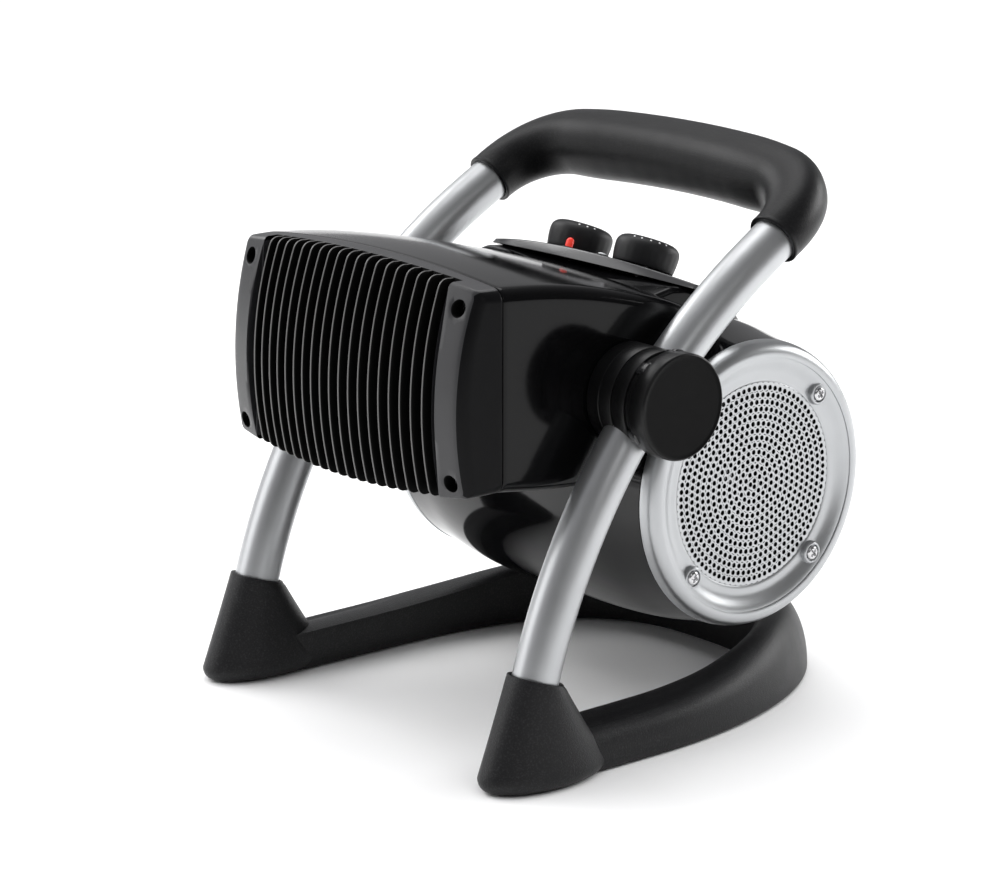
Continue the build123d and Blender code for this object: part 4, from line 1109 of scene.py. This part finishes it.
# the bevel rows take the lighter edge material as a painted highlight
plate.grid(rows[2:7], mat=1)
plate.grid(rows[6:])
plate.build("control_panel_skin", "head", [mat_panel, mat_plate_edge_painted_highlight], ["control_panel"], "panel_black", sharp=45)

KNOB_X, KNOB_Y = 24.2, 71.2


def knob_frame(x):
    run = (KNOB_Y - PANEL_Y) / cT
    p = panel_pt(x, run, 0.0)
    m = Matrix(((1, 0, 0, p[0]), (0, cT, sT, KNOB_Y), (0, -sT, cT, p[2]), (0, 0, 0, 1)))
    return m


knob_prof = [(0.6, 12.0), (0.6, 14.9), (0.75, 15.2), (1.1, 15.35), (2.5, 15.6), (5.0, 15.95), (7.5, 16.1), (9.5, 16.05), (10.8, 15.8), (11.8, 15.35), (12.6, 14.75), (13.3, 13.95), (13.9, 12.9), (14.35, 11.6), (14.65, 10.0), (14.83, 8.0), (14.93, 5.0), (14.97, 2.5), (15.0, 0.02)]
for nm, x, marks in (("function_knob", -KNOB_X, (-53.0, -36.0, -20.0)), ("thermostat_knob", KNOB_X, (-78.0, -61.0, -42.0, -24.0, -8.0))):
    fm = knob_frame(x)
    k = M()
    nn = 144
    rows = []
    for h, r in knob_prof:
        row = []
        for q in range(nn):
            a = 2 * math.pi * q / nn
            # shallow finger flutes in the side wall
            fl = 0.10 * (0.5 + 0.5 * math.cos(24 * a)) * smooth(1.5, 4.0, h) * (1 - smooth(7.5, 10.0, h))
            row.append(tuple(fm @ Vector(((r - fl) * math.cos(a), (r - fl) * math.sin(a), h))))
        rows.append(row)
    k.grid(rows)
    # pointer line set in the top
    ptr = []
    for u in np.linspace(5.0, 11.6, 8):
        ptr.append([tuple(fm @ Vector((w, u, 14.98 if abs(w) < 0.5 else 14.80))) for w in (-0.75, -0.5, 0.0, 0.5, 0.75)])
    k.grid(ptr, wrap=False, mat=1)
    # dots on the rounded rim
    for ang in marks:
        t = rad(ang)
        nrm = Vector((math.cos(t) * 0.66, math.sin(t) * 0.66, 0.75)).normalized()
        c = Vector((13.9 * math.cos(t), 13.9 * math.sin(t), 13.33))
        e1 = Vector((-math.sin(t), math.cos(t), 0))
        e2 = nrm.cross(e1)
        rows = []
        for rr, hh in ((0.5, -0.25), (0.48, 0.06), (0.34, 0.11), (0.02, 0.12)):
            rows.append([tuple(fm @ (c + e1 * rr * math.cos(a) + e2 * rr * math.sin(a) + nrm * hh)) for a in [2 * math.pi * q / 16 for q in range(16)]])
        k.grid(rows, mat=1)
    k.build(nm + "_skin", nm, [mat_knob, mat_mark], [nm], "knob_charcoal", sharp=45)

LED_X, LED_Y = 12.4, 55.6


def led(x, h, r, dome, name, mt, node, slot):
    run = (LED_Y - PANEL_Y) / cT
    p = panel_pt(x, run, 0.0)
    fm = Matrix(((1, 0, 0, p[0]), (0, cT, sT, LED_Y), (0, -sT, cT, p[2]), (0, 0, 0, 1)))
    pr = [(-1.6, 0.02), (-1.6, r), (h, r)]
    for k in range(1, 10):
        a = rad(90 * k / 9)
        pr.append((h + dome * r * math.sin(a), max(0.02, r * math.cos(a))))
    o = M().lathe(pr, fm, n=40)
    o.build(name, "head", mt, [node], slot, sharp=60)
    b = M().lathe([(-0.2, r + 1.5), (0.25, r + 1.45), (0.55, r + 1.1), (0.6, r + 0.6), (0.45, r + 0.2), (-0.4, r + 0.12)], fm, n=48)
    b.build(name + "_bezel", "head", mat_panel, [], "panel_black", sharp=60)


led(-LED_X, 3.1, 1.95, 1.1, "power_lens", mat_red, "power_indicator_lens", "lens_red")
led(LED_X, 0.7, 2.2, 0.35, "caution_lens", mat_clear, "caution_indicator_lens", "lens_clear")

# ---------------------------------------------------------------- materials of the CAD pieces that stay
keepers = {
    "base_pads": mat_rubber, "base_screws": mat_steel, "tube_end_plugs": mat_nylon, "clamp_bolts": mat_steel,
    "element_frame": mat_heatframe, "ceramic_heating_element": mat_element, "thermal_cutout": mat_steel, "air_duct": mat_duct,
    "motor_stator": mat_motor, "motor_bearings": mat_brass, "motor_bracket": mat_blacknylon, "rotor_shaft": mat_steel,
    "selector_switch": mat_blacknylon, "thermostat_body": mat_nylon, "selector_shaft": mat_blacknylon, "thermostat_shaft": mat_steel,
    "tip_over_switch": mat_blacknylon, "terminal_block": mat_nylon, "cord_inlet_gland": mat_blacknylon,
}
for sd in ("right", "left"):
    keepers.update({"pivot_bush_" + sd: mat_nylon, "friction_washer_" + sd: mat_fibre, "pivot_keeper_ring_" + sd: mat_steel, "inlet_ring_" + sd: mat_blacknylon, "blower_wheel_" + sd: mat_blacknylon})
for nm, mt in keepers.items():
    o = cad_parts[nm]
    if not o.material_slots:
        o.data.materials.append(mt)
    for s in o.material_slots:
        s.material = mt

# ---------------------------------------------------------------- stage, lights, camera
floor = bpy.data.meshes.new("floor")
S = 6.0
floor.from_pydata([(-S, -S, 0), (S, -S, 0), (S, S, 0), (-S, S, 0)], [], [(0, 1, 2, 3)])
fl = bpy.data.objects.new("floor", floor)
bpy.context.scene.collection.objects.link(fl)
mt, nt, b = principled("floor_white")
b.inputs["Roughness"].default_value = 0.8
b.inputs["Specular IOR Level"].default_value = 0.1
nz = nt.nodes.new("ShaderNodeTexNoise")
nz.inputs["Scale"].default_value = 3.0
rp = nt.nodes.new("ShaderNodeValToRGB")
rp.color_ramp.elements[0].color = (0.93, 0.93, 0.93, 1)
rp.color_ramp.elements[1].color = (0.95, 0.95, 0.95, 1)
nt.links.new(nz.outputs["Fac"], rp.inputs["Fac"])
nt.links.new(rp.outputs["Color"], b.inputs["Base Color"])
floor.materials.append(mt)
fl.location.z = -0.0001

scene = bpy.context.scene
world = bpy.data.worlds.new("studio")
scene.world = world
world.use_nodes = True
WN, WL = world.node_tree.nodes, world.node_tree.links
bg = WN["Background"]
wtc = WN.new("ShaderNodeTexCoord")
wramp = WN.new("ShaderNodeValToRGB")
wr = wramp.color_ramp
wr.elements[0].position, wr.elements[0].color = 0.0, (0.09, 0.09, 0.09, 1)
wr.elements[1].position, wr.elements[1].color = 1.0, (0.70, 0.70, 0.71, 1)
e = wr.elements.new(0.42)
e.color = (0.10, 0.10, 0.10, 1)
e = wr.elements.new(0.75)
e.color = (0.30, 0.30, 0.31, 1)
wdot = WN.new("ShaderNodeVectorMath")
wdot.operation = "DOT_PRODUCT"
WL.new(wtc.outputs["Generated"], wdot.inputs[0])
wdot.inputs[1].default_value = (-0.78, -0.12, 0.61)
whalf = WN.new("ShaderNodeMapRange")
whalf.inputs["From Min"].default_value = -1.0
whalf.inputs["From Max"].default_value = 1.0
WL.new(wdot.outputs["Value"], whalf.inputs["Value"])
WL.new(whalf.outputs["Result"], wramp.inputs["Fac"])
wlp = WN.new("ShaderNodeLightPath")
wmix = WN.new("ShaderNodeMix")
wmix.data_type = "RGBA"
WL.new(wlp.outputs["Is Camera Ray"], wmix.inputs["Factor"])
WL.new(wramp.outputs["Color"], wmix.inputs["A"])
wmix.inputs["B"].default_value = (1, 1, 1, 1)
WL.new(wmix.outputs["Result"], bg.inputs["Color"])
bg.inputs["Strength"].default_value = 1.0
scene.view_settings.view_transform = "Standard"
scene.view_settings.look = "None"


def area(name, loc, target, sx, sy, power, spread=180):
    li = bpy.data.lights.new(name, "AREA")
    li.shape = "RECTANGLE"
    li.size, li.size_y = sx, sy
    li.energy = power
    li.spread = rad(spread)
    ob = bpy.data.objects.new(name, li)
    scene.collection.objects.link(ob)
    ob.location = loc
    ob.rotation_euler = (Vector(target) - Vector(loc)).to_track_quat("-Z", "Y").to_euler()
    return ob


aim = (0, HY, 0.14)
sun_data = bpy.data.lights.new("overhead_fill", "SUN")
sun_data.energy = 2.6
sun_data.angle = rad(130)
sun = bpy.data.objects.new("overhead_fill", sun_data)
scene.collection.objects.link(sun)
sun.rotation_euler = (rad(-8), rad(-8), 0)
sun.visible_glossy = False
area("key_front_left", (-0.95, -1.15, 0.65), aim, 0.9, 1.1, 5)
area("left_soft", (-1.3, -0.35, 1.15), aim, 0.9, 0.9, 10)
area("top_soft", (-0.35, 0.35, 1.35), aim, 0.8, 0.8, 5)
area("rear_soft", (0.45, 1.7, 0.6), aim, 1.1, 0.6, 13)
area("cap_kicker", (1.5, -0.25, 1.0), aim, 0.5, 0.5, 1.5)

cam_data = bpy.data.cameras.new("camera")
cam = bpy.data.objects.new("camera", cam_data)
scene.collection.objects.link(cam)
AZ, EL = 0.869531378, 0.253860994
K = 1.067
cpos = (1197.75118 * K, -1010.23287 * K, 529.791205 * K)
cam.location = Vector([float(v) for v in R(np.array(cpos))])
cam.rotation_euler = (math.pi / 2 - EL, 0, AZ)
cam_data.sensor_width = 36.0
cam_data.lens = 3565.68559 / 1000 * 36.0
cam_data.clip_start, cam_data.clip_end = 0.05, 50
scene.camera = cam
